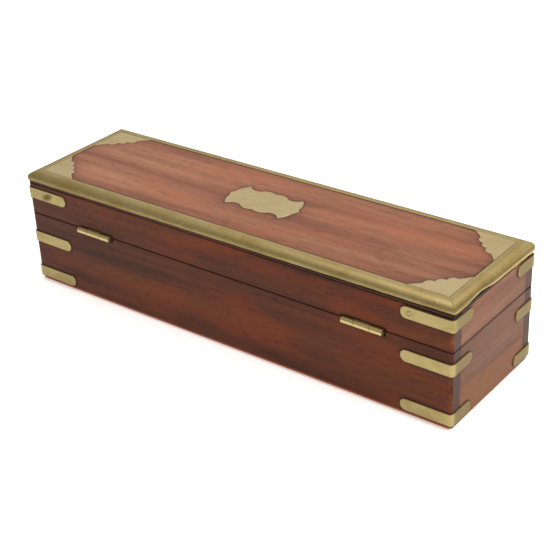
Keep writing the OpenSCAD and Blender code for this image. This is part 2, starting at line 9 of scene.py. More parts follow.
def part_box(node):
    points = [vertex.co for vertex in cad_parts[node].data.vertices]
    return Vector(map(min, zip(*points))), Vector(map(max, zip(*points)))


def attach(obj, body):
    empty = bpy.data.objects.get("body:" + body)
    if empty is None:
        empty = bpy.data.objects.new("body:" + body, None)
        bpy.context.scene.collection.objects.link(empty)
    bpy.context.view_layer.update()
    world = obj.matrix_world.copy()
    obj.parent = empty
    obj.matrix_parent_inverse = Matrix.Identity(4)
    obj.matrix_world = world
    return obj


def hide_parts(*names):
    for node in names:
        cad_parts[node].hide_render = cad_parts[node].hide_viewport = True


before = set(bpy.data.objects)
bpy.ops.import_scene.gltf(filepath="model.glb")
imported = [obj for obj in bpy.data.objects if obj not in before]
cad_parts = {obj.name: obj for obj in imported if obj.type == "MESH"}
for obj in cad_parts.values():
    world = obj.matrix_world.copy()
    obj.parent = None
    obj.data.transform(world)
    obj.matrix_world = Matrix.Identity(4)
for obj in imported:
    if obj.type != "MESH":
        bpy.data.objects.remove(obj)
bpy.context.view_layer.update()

bl_info = {
    "name": "Brass-bound pen box",
    "version": (1, 0, 0),
    "blender": (4, 5, 0),
    "location": "3D View > Sidebar > Pen Box",
    "description": "Builds the finished surfaces of a brass-bound hardwood pen box",
    "category": "Add Mesh",
}

# ---- sizes from the frame, in millimetres ---------------------------------------

MM = 0.001
WELD = 1e-4              # points closer than this are one point


def corners(node):
    """Lowest and highest corner of a frame node, in millimetres."""
    lo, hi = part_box(node)
    return np.array(lo) / MM, np.array(hi) / MM


REAR_LO, REAR_HI = corners("base_rear_board")
HALF_L = REAR_HI[0]                          # half the length over the wood
HALF_W = REAR_HI[1]                          # half the width over the wood
IN_L = HALF_L - (REAR_HI[1] - REAR_LO[1])    # half the clear length inside
IN_W = REAR_LO[1]
BASE_TOP = REAR_HI[2]
LID_LOW = corners("lid_rear_rail")[0][2]
RAIL_TOP = corners("lid_rear_rail")[1][2]
SEAM = (BASE_TOP + LID_LOW) / 2
LID_TOP = corners("lid_top_board")[1][2]
RIM_LO, RIM_HI = corners("edging_rear")
RIM_W = RIM_HI[1] - RIM_LO[1]                # width of the edging on the top
RIM_H = RIM_HI[2] - RIM_LO[2]                # its drop down the side
RIM_IN_X = RIM_HI[0] - RIM_W                 # inner lines of the edging
RIM_IN_Y = RIM_HI[1] - RIM_W
STRAP_LO, STRAP_HI = corners("lid_strap_rear_right")
STRAP_T = STRAP_HI[1] - HALF_W
STRAP_W = STRAP_HI[2] - STRAP_LO[2]
STRAP_LONG = STRAP_HI[0] - STRAP_LO[0]       # reach along the front or rear
STRAP_SHORT = STRAP_HI[1] - STRAP_LO[1]      # reach along an end
STRAP_Z = {(row, sx, sy): sum(corners(f"{row}_strap_{along}_{across}"))[2] / 2
           for row in ("lid", "upper", "lower")
           for sx, across in ((-1, "left"), (1, "right"))
           for sy, along in ((-1, "front"), (1, "rear"))}
PIN_SET = 5.3                                # a strap's pins stand this far from its tips
PLATE_LO, PLATE_HI = corners("corner_plate_rear_right")
PLATE_LEG = PLATE_HI[0] - PLATE_LO[0]
CART_LO, CART_HI = corners("cartouche")
CART_X, CART_Y = (CART_HI - CART_LO)[:2] / 2
CART_AT = (CART_HI + CART_LO)[:2] / 2
PIN_LO, PIN_HI = corners("right_hinge_pin")
HINGE_X = (PIN_LO[0] + PIN_HI[0]) / 2
HINGE_AXIS = (PIN_LO[1:] + PIN_HI[1:]) / 2   # (y, z) of the hinge line
LEAF_LO, LEAF_HI = corners("right_hinge_base_leaf")
HINGE_HALF = (LEAF_HI[0] - LEAF_LO[0]) / 2
LEAF_IN = LEAF_LO[1]                         # inner edge of the hinge leaves
KNUCKLE_R = HINGE_AXIS[1] - LEAF_LO[2]
LEAF_T = 1.0                                 # leaves and lock plates are this thick
LEAF_FIT, KNUCKLE_FIT, CASE_FIT = 0.2, 0.25, 0.1  # room at a leaf's ends, a knuckle, a case
NOTCH = 1.1                                  # the wood is cut back this far past a hinge
LOCK_HALF = 18.1                             # half the length of the lock's deep mortise
SHOULDER_R, SHEET_T = 5.2, 0.9               # the edging's round shoulder, and its sheet
RIM_DEEP = 5.0                               # how far down the edging mostly reaches
RIBBON_T = 0.9                               # thickness of the tray's ribbon tabs
FACE_SKIN = 0.7                              # points this near an end face lie on it
FAR = 99.0                                   # farther than any mark reaches
CASE_LO, CASE_HI = corners("lock_case")
KEY_LO, KEY_HI = corners("escutcheon")

# ---- shapes ---------------------------------------------------------------------

ROUND_STEPS = np.array([0.0, 0.07, 0.18, 0.32, 0.5, 0.72, 1.0])


def wander(t, seed):
    """A smooth uneven wave between about -1 and 1: three sines of unrelated length."""
    return (np.sin(t * 0.37 + seed) + 0.6 * np.sin(t * 0.83 + 2.1 * seed)
            + 0.4 * np.sin(t * 1.9 + 3.7 * seed)) / 2


def smooth_step(t):
    """Rises from 0 to 1 over t = 0..1 with level ends: 3t^2 - 2t^3."""
    t = np.clip(t, 0, 1)
    return t * t * (3 - 2 * t)


def bow(start, end, sag, count=9):
    """Points of the circular arc from start towards end that swells by sag to the left.

    The radius is (c^2/4 + s^2) / 2s for a chord c and a sag s; the last point is left out.
    """
    start, end = np.array(start, float), np.array(end, float)
    chord = end - start
    length = np.hypot(*chord)
    along = chord / length
    left = np.array([-along[1], along[0]]) * np.sign(sag)
    radius = (length ** 2 / 4 + sag ** 2) / (2 * abs(sag))
    middle = (start + end) / 2 - left * (radius - abs(sag))
    turn = math.asin(min(1, length / (2 * radius)))
    angle = np.linspace(-turn, turn, count + 1)[:-1, None]
    return middle + radius * (np.cos(angle) * left + np.sin(angle) * along)


def grid_lines(lo, hi, step, extra=()):
    """Grid lines from lo to hi, about a step apart, and the extra lines between them."""
    even = np.linspace(lo, hi, int(math.ceil((hi - lo) / step)) + 1)
    extra = np.array([line for line in extra if lo < line < hi])
    return np.unique(np.round(np.concatenate([even, extra]), 3))


def grid_faces(rows, cols):
    """Quads of a grid stored row by row; they face along row step x column step."""
    index = np.arange(rows * cols).reshape(rows, cols)
    quads = [index[:-1, :-1], index[1:, :-1], index[1:, 1:], index[:-1, 1:]]
    return np.stack(quads, -1).reshape(-1, 4)


def join_shells(shells):
    """One shell from several: their points in a row, and their quads counted on."""
    start = np.cumsum([0] + [len(points) for points, _ in shells])
    return (np.concatenate([points for points, _ in shells]),
            np.concatenate([faces + at for (_, faces), at in zip(shells, start)]))


def join_sheets(sheets):
    """One shell (points and quads) from several grids of points."""
    return join_shells([(s.reshape(-1, 3), grid_faces(*s.shape[:2])) for s in sheets])


def box_sheets(axes):
    """Six grids over the faces of the box that three lists of grid lines span."""
    sheets = []
    for a in range(3):
        b, c = (a + 1) % 3, (a + 2) % 3
        for side, (first, second) in ((0, (c, b)), (-1, (b, c))):
            u, v = np.meshgrid(axes[first], axes[second], indexing="ij")
            sheet = np.empty(u.shape + (3,))
            sheet[..., first], sheet[..., second] = u, v
            sheet[..., a] = axes[a][side]
            sheets.append(sheet)
    return sheets


def soften(points, lo, hi, soft_lo, soft_hi):
    """Rounds a box's edges: each point is pulled straight towards the box that is smaller
    by the roundings, until it lies on the ellipse whose half axes are those roundings."""
    inner = np.clip(points, lo + soft_lo, hi - soft_hi)
    away = points - inner
    half = np.where(points > (lo + hi) / 2, soft_hi, soft_lo)
    return inner + away / np.maximum(np.linalg.norm(away / half, axis=-1, keepdims=True), 1)


def block(lo, hi, soft_lo, soft_hi, step, extra=((), (), ()), foot=0.0):
    """A box of six grids with rounded edges; foot is the larger rounding that its outer
    sides (those rounded by more than half a millimetre) have near the bottom."""
    lo, hi, soft_lo, soft_hi = (np.array(v, float) for v in (lo, hi, soft_lo, soft_hi))
    outer = 0.5
    axes = []
    for a in range(3):
        low = max(soft_lo[a], foot if soft_lo[a] > outer else 0)
        high = max(soft_hi[a], foot if soft_hi[a] > outer and a < 2 else 0)
        lines = [lo[a] + low * ROUND_STEPS, hi[a] - high * ROUND_STEPS,
                 lo[a] + soft_lo[a] * ROUND_STEPS, hi[a] - soft_hi[a] * ROUND_STEPS]
        axes.append(grid_lines(lo[a], hi[a], step[a], np.concatenate(lines + [extra[a]])))
    points, faces = join_sheets(box_sheets(axes))
    roundings = [np.tile(soft, (len(points), 1)) for soft in (soft_lo, soft_hi)]
    if foot:
        low = smooth_step(1 - (points[:, 2] - lo[2]) / (2.5 * foot))
        for rounding, soft in zip(roundings, (soft_lo, soft_hi)):
            for a in (0, 1):
                if soft[a] > outer:
                    rounding[:, a] += (foot - soft[a]) * low
    return soften(points, lo, hi, *roundings), faces


def cut(points, lo, hi, limit, z):
    """Cuts a pocket in the top or the underside of a board: over a footprint given by its
    lowest and highest (x, y), heights are limited by np.minimum or np.maximum to z."""
    spot = ((points[:, 0] > lo[0]) & (points[:, 0] < hi[0])
            & (points[:, 1] > lo[1]) & (points[:, 1] < hi[1]))
    points[spot, 2] = limit(points[spot, 2], z)


def cut_round(points, middle, half, radius):
    """Pushes points out of a lying cylinder round the hinge line, away from its axis."""
    away = points[:, 1:] - HINGE_AXIS
    reach = np.hypot(away[:, 0], away[:, 1])
    spot = (reach < radius) & (np.abs(points[:, 0] - middle) < half)
    points[spot, 1:] = HINGE_AXIS + away[spot] / reach[spot, None] * radius


def both_sides(values, gap=0.02):
    """Pairs of grid lines close together on both sides of each value."""
    return [v + s * gap for v in values for s in (-1, 1)]


def loop_gap(points, loop):
    """Distance of each (x, y) from the nearest side of a closed outline."""
    start, end = loop, np.roll(loop, -1, axis=0)
    side = end - start
    offset = points[:, None, :2] - start[None]
    t = np.clip((offset * side).sum(-1) / (side ** 2).sum(-1), 0, 1)
    return np.linalg.norm(offset - t[..., None] * side, axis=-1).min(1)


def weld(points, faces):
    """Makes points at the same place one point, and marks which corners of each quad to
    keep: a quad that lost one side is a triangle, and one that lost its area goes."""
    key = np.round(points / WELD).astype(np.int64)
    _, first, index = np.unique(key, axis=0, return_index=True, return_inverse=True)
    points, faces = points[first], index.reshape(-1)[faces]
    keep = faces != np.roll(faces, -1, axis=1)
    good = (keep.sum(1) > 2) & (faces[:, 0] != faces[:, 2]) & (faces[:, 1] != faces[:, 3])
    return points, faces[good], keep[good]


def volume(points, faces):
    """Signed volume of a closed shell of quads: positive when its faces point outwards."""
    a, b, c, d = (points[faces[:, i]] for i in range(4))
    return ((a * np.cross(b, c)).sum() + (a * np.cross(c, d)).sum()) / 6


def make_piece(name, shell, material, body, nodes, marks=None, sharp=35):
    """Puts a shell, in millimetres, into a mesh object that rides on a body."""
    points, faces, keep = weld(*shell)
    if volume(points, faces) < 0:
        faces, keep = faces[:, ::-1], keep[:, ::-1]
    mesh = bpy.data.meshes.new(name)
    mesh.vertices.add(len(points))
    mesh.vertices.foreach_set("co", (points * MM).ravel())
    mesh.loops.add(int(keep.sum()))
    mesh.loops.foreach_set("vertex_index", faces[keep])
    mesh.polygons.add(len(faces))
    mesh.polygons.foreach_set("loop_start", np.cumsum(keep.sum(1)) - keep.sum(1))
    mesh.update(calc_edges=True)
    for key, values in (marks(points) if marks else {}).items():
        mesh.attributes.new(key, "FLOAT", "POINT").data.foreach_set("value", values)
    mesh.shade_smooth()
    mesh.set_sharp_from_angle(angle=math.radians(sharp))
    mesh.materials.append(material)
    piece = bpy.data.objects.new(name, mesh)
    bpy.context.scene.collection.objects.link(piece)
    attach(piece, body)
    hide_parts(*nodes)
    return piece


def dress(node, material):
    """Gives a frame node its finish."""
    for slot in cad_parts[node].material_slots:
        slot.material = material


# ---- wood outlines and marks ----------------------------------------------------

def plate_edge():
    """The long side of a corner plate, seen with its right angle at the origin: two gentle
    swells with three bites between them, as arcs from one leg's end to the other's."""
    near, far = 5.6, 18.9                    # the bites' last and first corner
    swell, bite = 0.3, -1.9                  # sags of the arcs
    ends = [(far - i * (far - near) / 3, near + i * (far - near) / 3) for i in range(4)]
    arcs = [bow((PLATE_LEG, 0), ends[0], swell, 16)]
    arcs += [bow(ends[i], ends[i + 1], bite, 10) for i in range(3)]
    arcs += [bow(ends[3], (0, PLATE_LEG), swell, 16), [(0, PLATE_LEG)]]
    return np.concatenate(arcs)


def cartouche_half():
    """The rear half of the cartouche's outline, from one end's point to the other: a swell
    beside the middle notch, a hollow up to the ear, then a swell and a hollow to the point."""
    waist = (8.4, CART_Y - 1.4)
    ear = (CART_X - 6.4, CART_Y)
    hip = (CART_X - 2.2, 4.0)
    quarter = np.concatenate([bow((0, waist[1]), waist, 1.1, 12), bow(waist, ear, -2.6, 16),
                              bow(ear, hip, 0.9, 10), bow(hip, (CART_X, 0), -0.4, 6),
                              [(CART_X, 0)]])
    return np.concatenate([quarter[:0:-1] * (-1, 1), quarter])


def cartouche_loop():
    """The cartouche's closed outline, in place."""
    half = cartouche_half()
    return CART_AT + np.concatenate([half, half[-2:0:-1] * (1, -1)])


def plate_outlines():
    """The closed outlines of the four corner plates, in place."""
    shape = np.concatenate([[(0, 0)], plate_edge()])
    return [(RIM_IN_X * sx, RIM_IN_Y * sy) - shape * (sx, sy)
            for sx in (-1, 1) for sy in (-1, 1)]


def strap_gap(points):
    """Distance outside the nearest strap's outline, a bar with one round end, measured on
    the face of the box that the point lies on."""
    x, y, z = np.abs(points[:, 0]), np.abs(points[:, 1]), points[:, 2]
    gap = np.full(len(points), FAR)
    for (_, sx, sy), level in STRAP_Z.items():
        here = (sx * points[:, 0] > 0) & (sy * points[:, 1] > 0)
        for face, from_corner, reach in ((y > HALF_W - 2, HALF_L + STRAP_T - x, STRAP_LONG),
                                         (x > HALF_L - 2, HALF_W + STRAP_T - y, STRAP_SHORT)):
            past_end = np.maximum(from_corner - (reach - STRAP_W / 2), 0)
            outside = np.hypot(past_end, z - level) - STRAP_W / 2
            gap = np.where(here & face, np.minimum(gap, outside), gap)
    return np.maximum(gap, 0)


def side_marks(points):
    """Dirt, painted shade and wear on the boards: dirt lies round the brass, in the seam and
    beside the hinges, and a painted shade with dirt lies under the edging (deepest by the
    hinge-side corners); the lower edge of the long sides is lighter, partly rubbed down to bare
    wood and partly a painted highlight, and the upright corners are rubbed down in places. Each
    mark falls off from its line as exp(-gap) or, where it is soft, as exp(-gap^2)."""
    x, y, z = np.abs(points[:, 0]), np.abs(points[:, 1]), points[:, 2]
    outside = (x > HALF_L - 2.5) | (y > HALF_W - 2.5)
    on_end = x > HALF_L - FACE_SKIN
    uneven = 0.8 + 0.35 * wander(points[:, 0] * 0.21 + points[:, 1] * 0.3, 1.3)
    strap = 0.95 * np.exp(-strap_gap(points) / (0.75 * uneven))
    # painted shade with dirt under the edging: a dark band on the wood below its lip, deeper near
    # the hinge-side corners
    near_corner = np.where(on_end, smooth_step(points[:, 1] / 45), smooth_step((x - 90) / 60))
    under_rim = np.maximum(RIM_HI[2] - RIM_DEEP - z, 0)
    rim = 0.92 * np.exp(-(under_rim / ((1.3 + 2.4 * near_corner) * uneven)) ** 2)
    seam = np.where(on_end, 0.95, 0.8) * np.exp(-np.abs(z - SEAM) / 0.7)
    beside = np.hypot(np.maximum(np.abs(x - HINGE_X) - HINGE_HALF, 0),
                      np.maximum(np.abs(z - HINGE_AXIS[1]) - KNUCKLE_R, 0))
    hinge = np.where(points[:, 1] > HALF_W - 3, 0.92 * np.exp(-(beside / 1.3) ** 2), 0)
    clean_unshaded = (1 - strap) * (1 - rim) * (1 - seam) * (1 - hinge)
    clean_unshaded *= np.where(on_end & (z < SEAM), 0.76, 1)
    # painted highlight with wear: the rounded lower edge of the long sides is lighter, partly
    # rubbed and partly the light that it catches; on the ends it stays nearly dark
    foot_z, foot_fade = 3.1, 0.9
    foot = smooth_step((foot_z - z) / foot_fade + 0.3 * wander(points[:, 0] * 0.13, 4.0))
    foot = np.where(on_end, 0.1, foot)
    upright = np.exp(-((HALF_L - x) ** 2 + (HALF_W - y) ** 2) / 1.6)
    upright *= 0.35 + 0.3 * wander(z * 0.9, 2.0)
    return {"dirt": np.where(outside, 1 - clean_unshaded, 0.15),
            "wear": np.where(outside, np.clip(np.maximum(foot, upright), 0, 1), 0),
            "end_grain": (on_end & (y > IN_W - 0.01)).astype(float)}


def top_marks(points):
    """Dirt and painted shade on the lid's top: a fine dark line round each plate and the
    cartouche, a soft darker halo beside them, a line along the edging, and a painted shade that
    slowly darkens the top towards one corner; the board's sides under the edging's lip are
    painted dark, as shade with dirt."""
    x, y = points[:, 0], points[:, 1]
    gap = loop_gap(points, cartouche_loop())
    for loop in plate_outlines():
        gap = np.minimum(gap, loop_gap(points, loop))
    rim = np.minimum(RIM_IN_X - np.abs(x), RIM_IN_Y - np.abs(y)).clip(0)
    clean_unshaded = (1 - 0.95 * np.exp(-gap / 0.45)) * (1 - 0.32 * np.exp(-gap / 3.2))
    clean_unshaded *= (1 - 0.9 * np.exp(-rim / 0.5)) * (1 - 0.25 * np.exp(-rim / 3))
    # painted shade: the top darkens slowly towards the left rear corner
    clean_unshaded *= 1 - 0.26 * smooth_step((90 - x) / 240) * smooth_step(y / 70 + 0.6)
    # painted shade with dirt: the board's sides, under the edging's lip, are dark all over (0.8)
    return {"dirt": np.where(points[:, 2] > LID_TOP - 0.5, 1 - clean_unshaded, 0.8),
            "wear": np.zeros(len(points)),
            "end_grain": (np.abs(x) > HALF_L - FACE_SKIN).astype(float)}


# ---- shells ---------------------------------------------------------------------

def long_board(sy, low, high, foot):
    """A front or rear board as a softened box, with grid lines where its pockets end."""
    outer, inner = 1.2, 0.15
    lo = np.array([-HALF_L, min(sy * IN_W, sy * HALF_W), low])
    hi = np.array([HALF_L, max(sy * IN_W, sy * HALF_W), high])
    soft_y = (inner, outer)[::sy]
    edge_y = [sy * (HALF_W - t) for t in np.arange(0.2, 2.6, 0.25)]
    if sy > 0:
        ends = [s * HINGE_X + side * (HINGE_HALF + room)
                for s in (-1, 1) for side in (-1, 1) for room in (LEAF_FIT, NOTCH)]
        near_seam = [SEAM + s * t for s in (-1, 1) for t in np.arange(0.3, 3.6, 0.3)]
        extra = (both_sides(ends), edge_y + both_sides([LEAF_IN - CASE_FIT]), near_seam)
    else:
        ends = [s * t for s in (-1, 1) for t in (CASE_HI[0] + CASE_FIT, LOCK_HALF)]
        extra = (both_sides(ends) + list(np.arange(-2.4, 2.5, 0.3)),
                 both_sides([CASE_LO[1] - CASE_FIT]),
                 list(np.arange(KEY_LO[2] + 6, KEY_HI[2] - 6, 0.3)))
    return block(lo, hi, (outer, soft_y[0], foot or inner), (outer, soft_y[1], 0.3),
                 (2.0, 1.6, 1.1), extra, foot)


def rear_shell(low, high, foot, limit, z):
    """A rear board or rail: pockets to the height z for the two hinges' leaves, and round
    notches for their knuckles."""
    points, faces = long_board(1, low, high, foot)
    half = HINGE_HALF + LEAF_FIT
    for middle in (-HINGE_X, HINGE_X):
        cut(points, (middle - half, LEAF_IN - CASE_FIT), (middle + half, HALF_W + 1), limit, z)
        cut_round(points, middle, HINGE_HALF + NOTCH, KNUCKLE_R + KNUCKLE_FIT)
    return points, faces


def front_shell(low, high, foot, limit, z):
    """A front board or rail: a shallow pocket to the height z for the lock's plate."""
    points, faces = long_board(-1, low, high, foot)
    cut(points, (-CASE_HI[0] - CASE_FIT, CASE_LO[1] - CASE_FIT), (CASE_HI[0] + CASE_FIT, 0),
        limit, z)
    return points, faces


def lock_board(foot):
    """The base's front board, with the lock's deep mortise and the keyhole (a round hole
    over a slot) behind the escutcheon."""
    points, faces = front_shell(0, BASE_TOP, foot, np.minimum, BASE_TOP - LEAF_T)
    cut(points, (-LOCK_HALF, CASE_LO[1] + 0.3), (LOCK_HALF, 0), np.minimum, CASE_LO[2])
    hole_r, slot_half, slot_low, deep = 2.0, 1.1, -4.9, 1.8
    x, z = points[:, 0], points[:, 2] - (KEY_LO[2] + KEY_HI[2]) / 2 - 1.2
    keyhole = (np.hypot(x, z) < hole_r) | ((np.abs(x) < slot_half) & (z < 0) & (z > slot_low))
    points[keyhole & (points[:, 1] < -HALF_W + 0.5), 1] = -HALF_W + deep
    return points, faces


def end_board(sx, low, high, foot):
    """An end board between the long boards, as a softened box."""
    outer, inner = 0.6, 0.08
    lo = [min(sx * IN_L, sx * HALF_L), -IN_W, low]
    hi = [max(sx * IN_L, sx * HALF_L), IN_W, high]
    soft_x = (inner, outer)[::sx]
    return block(lo, hi, (soft_x[0], inner, foot or inner), (soft_x[1], inner, 0.3),
                 (1.6, 1.1, 1.1), foot=foot)


def top_shell():
    """The lid's top board, rounded under the edging so that the sheet covers it."""
    lo, hi = np.array([-HALF_L, -HALF_W, RAIL_TOP]), np.array([HALF_L, HALF_W, LID_TOP])
    shoulder, upright = 5.4, 1.2
    axes = []
    for a in range(3):
        steps = np.concatenate([lo[a] + shoulder * ROUND_STEPS, hi[a] - shoulder * ROUND_STEPS])
        axes.append(grid_lines(lo[a], hi[a], 1.0, steps))
    points, faces = join_sheets(box_sheets(axes))
    high = smooth_step(points[:, 2:] - (LID_TOP - shoulder) + 0.3)
    sides = upright + (shoulder - upright) * high
    low_soft = np.concatenate([sides, sides, np.full_like(sides, 0.05)], axis=1)
    high_soft = np.concatenate([sides, sides, np.full_like(sides, shoulder)], axis=1)
    return soften(points, lo, hi, low_soft, high_soft), faces


def rim_section():
    """The edging's section as (inwards, down): the outer skin from the inner line over the
    round shoulder to the lip, and the inner skin beside it, point for point."""
    radius, sheet = SHOULDER_R, SHEET_T
    turn = np.radians(np.linspace(0, 74, 17))
    arc = np.stack([np.sin(turn), np.cos(turn)], 1)
    flat = np.array([(RIM_W - 0.15, 0.5), (RIM_W - 0.15, 0.12), (RIM_W - 0.3, 0.01),
                     (RIM_W - 0.8, 0.0), (RIM_W - 1.6, 0.0)])
    low = np.linspace(radius * (1 - arc[-1, 1]), RIM_H - 0.12, 12)[1:]
    drop = np.stack([radius - np.sqrt(radius ** 2 - np.maximum(radius - low, 0) ** 2), low], 1)
    lip = np.append(low, [RIM_H, RIM_H])
    outer = np.concatenate([flat, radius * (1 - arc), drop, [(0.12, RIM_H), (0.5, RIM_H)]])
    inner = np.concatenate([np.stack([flat[:, 0], np.full(len(flat), sheet)], 1),
                            radius - (radius - sheet) * arc,
                            np.stack([np.full(len(lip), sheet), lip], 1)])
    return outer, inner


def rim_drop(x, y):
    """How deep the edging reaches down, as a share of its full depth: uneven, as it was cut
    by hand; the value at each corner of the lid is blended along the sides, and the left
    end's lip is cut higher in one place (a bell curve)."""
    right, rear = (x / HALF_L + 1) / 2, (y / HALF_W + 1) / 2
    left_rear, on_right, notch = 0.24, 0.89, 0.3
    high = notch * np.exp(-((y - 17.0) / 9.0) ** 2)
    return (1 - right) * (1.0 - left_rear * rear - high) + right * on_right


def rim_shell(side):
    """One side's edging: the section carried along the side, with mitred ends.

    At the fraction t of the run a point that lies a inwards stands at t (half - a), which
    makes both mitres. The lip flares out and wanders a little, and over it, on the ends, the
    sheet dips in (a bell curve)."""
    long_side = side in ("front", "rear")
    half, across = (RIM_HI[0], RIM_HI[1]) if long_side else (RIM_HI[1], RIM_HI[0])
    step, beside_mitre = 1.5, 0.3 / half
    run = np.linspace(-1, 1, int(2 * half / step) | 1)
    run = np.concatenate([run[:1], [-1 + beside_mitre], run[1:-1], [1 - beside_mitre], run[-1:]])
    seed = {"front": 1.0, "rear": 2.3, "left": 3.1, "right": 4.7}[side]
    cos, sin = {"rear": (1, 0), "left": (0, 1), "front": (-1, 0), "right": (0, -1)}[side]
    free = 1 - np.abs(run) ** 24
    wave = wander(run * half * 0.35, seed) * free
    ripple = wander(run * half * 0.9, seed + 5) * free
    dip, flare, rag = (0.0, 0.03, 0.12) if long_side else (0.2, 0.34, 0.3)
    dip_at, flare_from = 3.4, 3.6
    skins = []
    for skin, outside in zip(rim_section(), (1.0, 0.0)):
        inwards, down = skin[:, 0, None], skin[:, 1, None]
        low = smooth_step(down / RIM_H) * outside
        bent = dip * np.exp(-((down - dip_at) / 0.8) ** 2)
        bent = bent - flare * smooth_step((down - flare_from) / 1.6)
        inwards = inwards + outside * free * bent + low * 0.09 * wave
        down = down + low ** 4 * rag * ripple
        sheet = np.empty(inwards.shape[:1] + (len(run), 3))
        x, y = run * (half - inwards), across - inwards
        sheet[..., 0], sheet[..., 1] = cos * x - sin * y, sin * x + cos * y
        sheet[..., 2] = RIM_HI[2] - down * rim_drop(sheet[..., 0], sheet[..., 1])
        skins.append(sheet)
    outer, inner = skins
    closing = [np.stack([outer[i], inner[i]]) for i in (0, -1)]
    ends = [np.stack([outer[:, i], inner[:, i]], 1) for i in (0, -1)]
    points, faces = join_sheets([outer, inner[::-1], closing[0][::-1], closing[1], ends[0],
                                 ends[1][:, ::-1]])
    corner, flare_room = 1.9, 0.25           # the upright corners are rounded off
    reach = RIM_HI[:2] + flare_room - corner
    inner_point = np.clip(points[:, :2], -reach, reach)
    away = points[:, :2] - inner_point
    length = np.hypot(away[:, 0], away[:, 1])
    points[:, :2] = inner_point + away * np.minimum(1, corner / np.maximum(length, 1e-9))[:, None]
    return points, faces


def rim_marks(points):
    """Marks on the edging: a painted dark reflection as a soft band low on the shoulder, narrow
    and dark on the ends, where it climbs towards the hinge side, with a painted highlight on the
    ends' lip; tarnish in a line at the wood's edge and in the mitres."""
    down = (RIM_HI[2] - points[:, 2]) / rim_drop(points[:, 0], points[:, 1])
    inwards = np.minimum(RIM_HI[0] - np.abs(points[:, 0]), RIM_HI[1] - np.abs(points[:, 1]))
    uneven = wander(points[:, 0] * 0.3 + points[:, 1] * 0.5, 3.0)
    mitre = (RIM_HI[0] - np.abs(points[:, 0])) - (RIM_HI[1] - np.abs(points[:, 1]))
    on_end = smooth_step(0.5 - mitre)
    # painted dark reflection: the lower part of the round shoulder darkened as a soft band,
    # narrow and dark on the ends, faint on the long sides
    middle = 3.4 - 0.006 * points[:, 1]      # the band's depth, a little less to the rear
    near = smooth_step(points[:, 1] / 90 + 0.5)
    band = (0.6 + 0.3 * near) * np.exp(-((down - middle - 0.15 * uneven) / 0.85) ** 2)
    long_band = (0.18 + 0.08 * uneven) * smooth_step((down - 2.4) / 1.2)
    # the lip: lighter on the ends, a painted highlight, and a little darker on the long sides
    lip = smooth_step((down - 4.6) / 0.4)
    low = on_end * (1 - (1 - band) * (1 - (0.25 + 0.3 * near) * smooth_step((down - 0.6) / 1.2)))
    low = low * (1 - (0.8 - 0.5 * near) * lip) + (1 - on_end) * (long_band + 0.2 * lip)
    edge = 0.6 * np.exp(-np.maximum(RIM_W - inwards - 0.1, 0) / 0.25)
    joint = 0.75 * np.exp(-np.abs(mitre) / 0.16)
    pale = 0.5 * np.exp(-((RIM_W - 0.7 - inwards) / 0.35) ** 2) * (down < 0.5)
    return {"dirt": 1 - (1 - low) * (1 - edge) * (1 - joint),
            "wear": np.clip(0.35 * lip * on_end + pale, 0, 1)}


def plate_shell(first, last, thickness, top):
    """A flat plate between two edges with as many points each; an edge may be one point.

    Rows run straight from the first edge to the last, with a small bevel at both."""
    first, last = np.broadcast_arrays(np.asarray(first, float), np.asarray(last, float))
    reach = np.maximum(np.linalg.norm(last - first, axis=1), WELD)
    inset = np.minimum(np.array([0, 0.12, 0.32])[:, None] / reach, 0.5)
    middle = inset[2] + (1 - 2 * inset[2]) * np.linspace(0, 1, 11)[1:-1, None]
    v = np.concatenate([inset, middle, 1 - inset[::-1]])[..., None]
    drop = np.concatenate([[0.2, 0.05], np.zeros(11), [0.05, 0.2]])
    over = np.empty(v.shape[:2] + (3,))
    over[..., :2] = first + v * (last - first)
    over[..., 2] = top - drop[:, None]
    under = over.copy()
    under[..., 2] = top - thickness
    return join_sheets([over, under[:, ::-1], np.stack([under[0], over[0]]),
                        np.stack([over[-1], under[-1]]),
                        np.stack([under[:, 0], over[:, 0]], 1),
                        np.stack([over[:, -1], under[:, -1]], 1)])


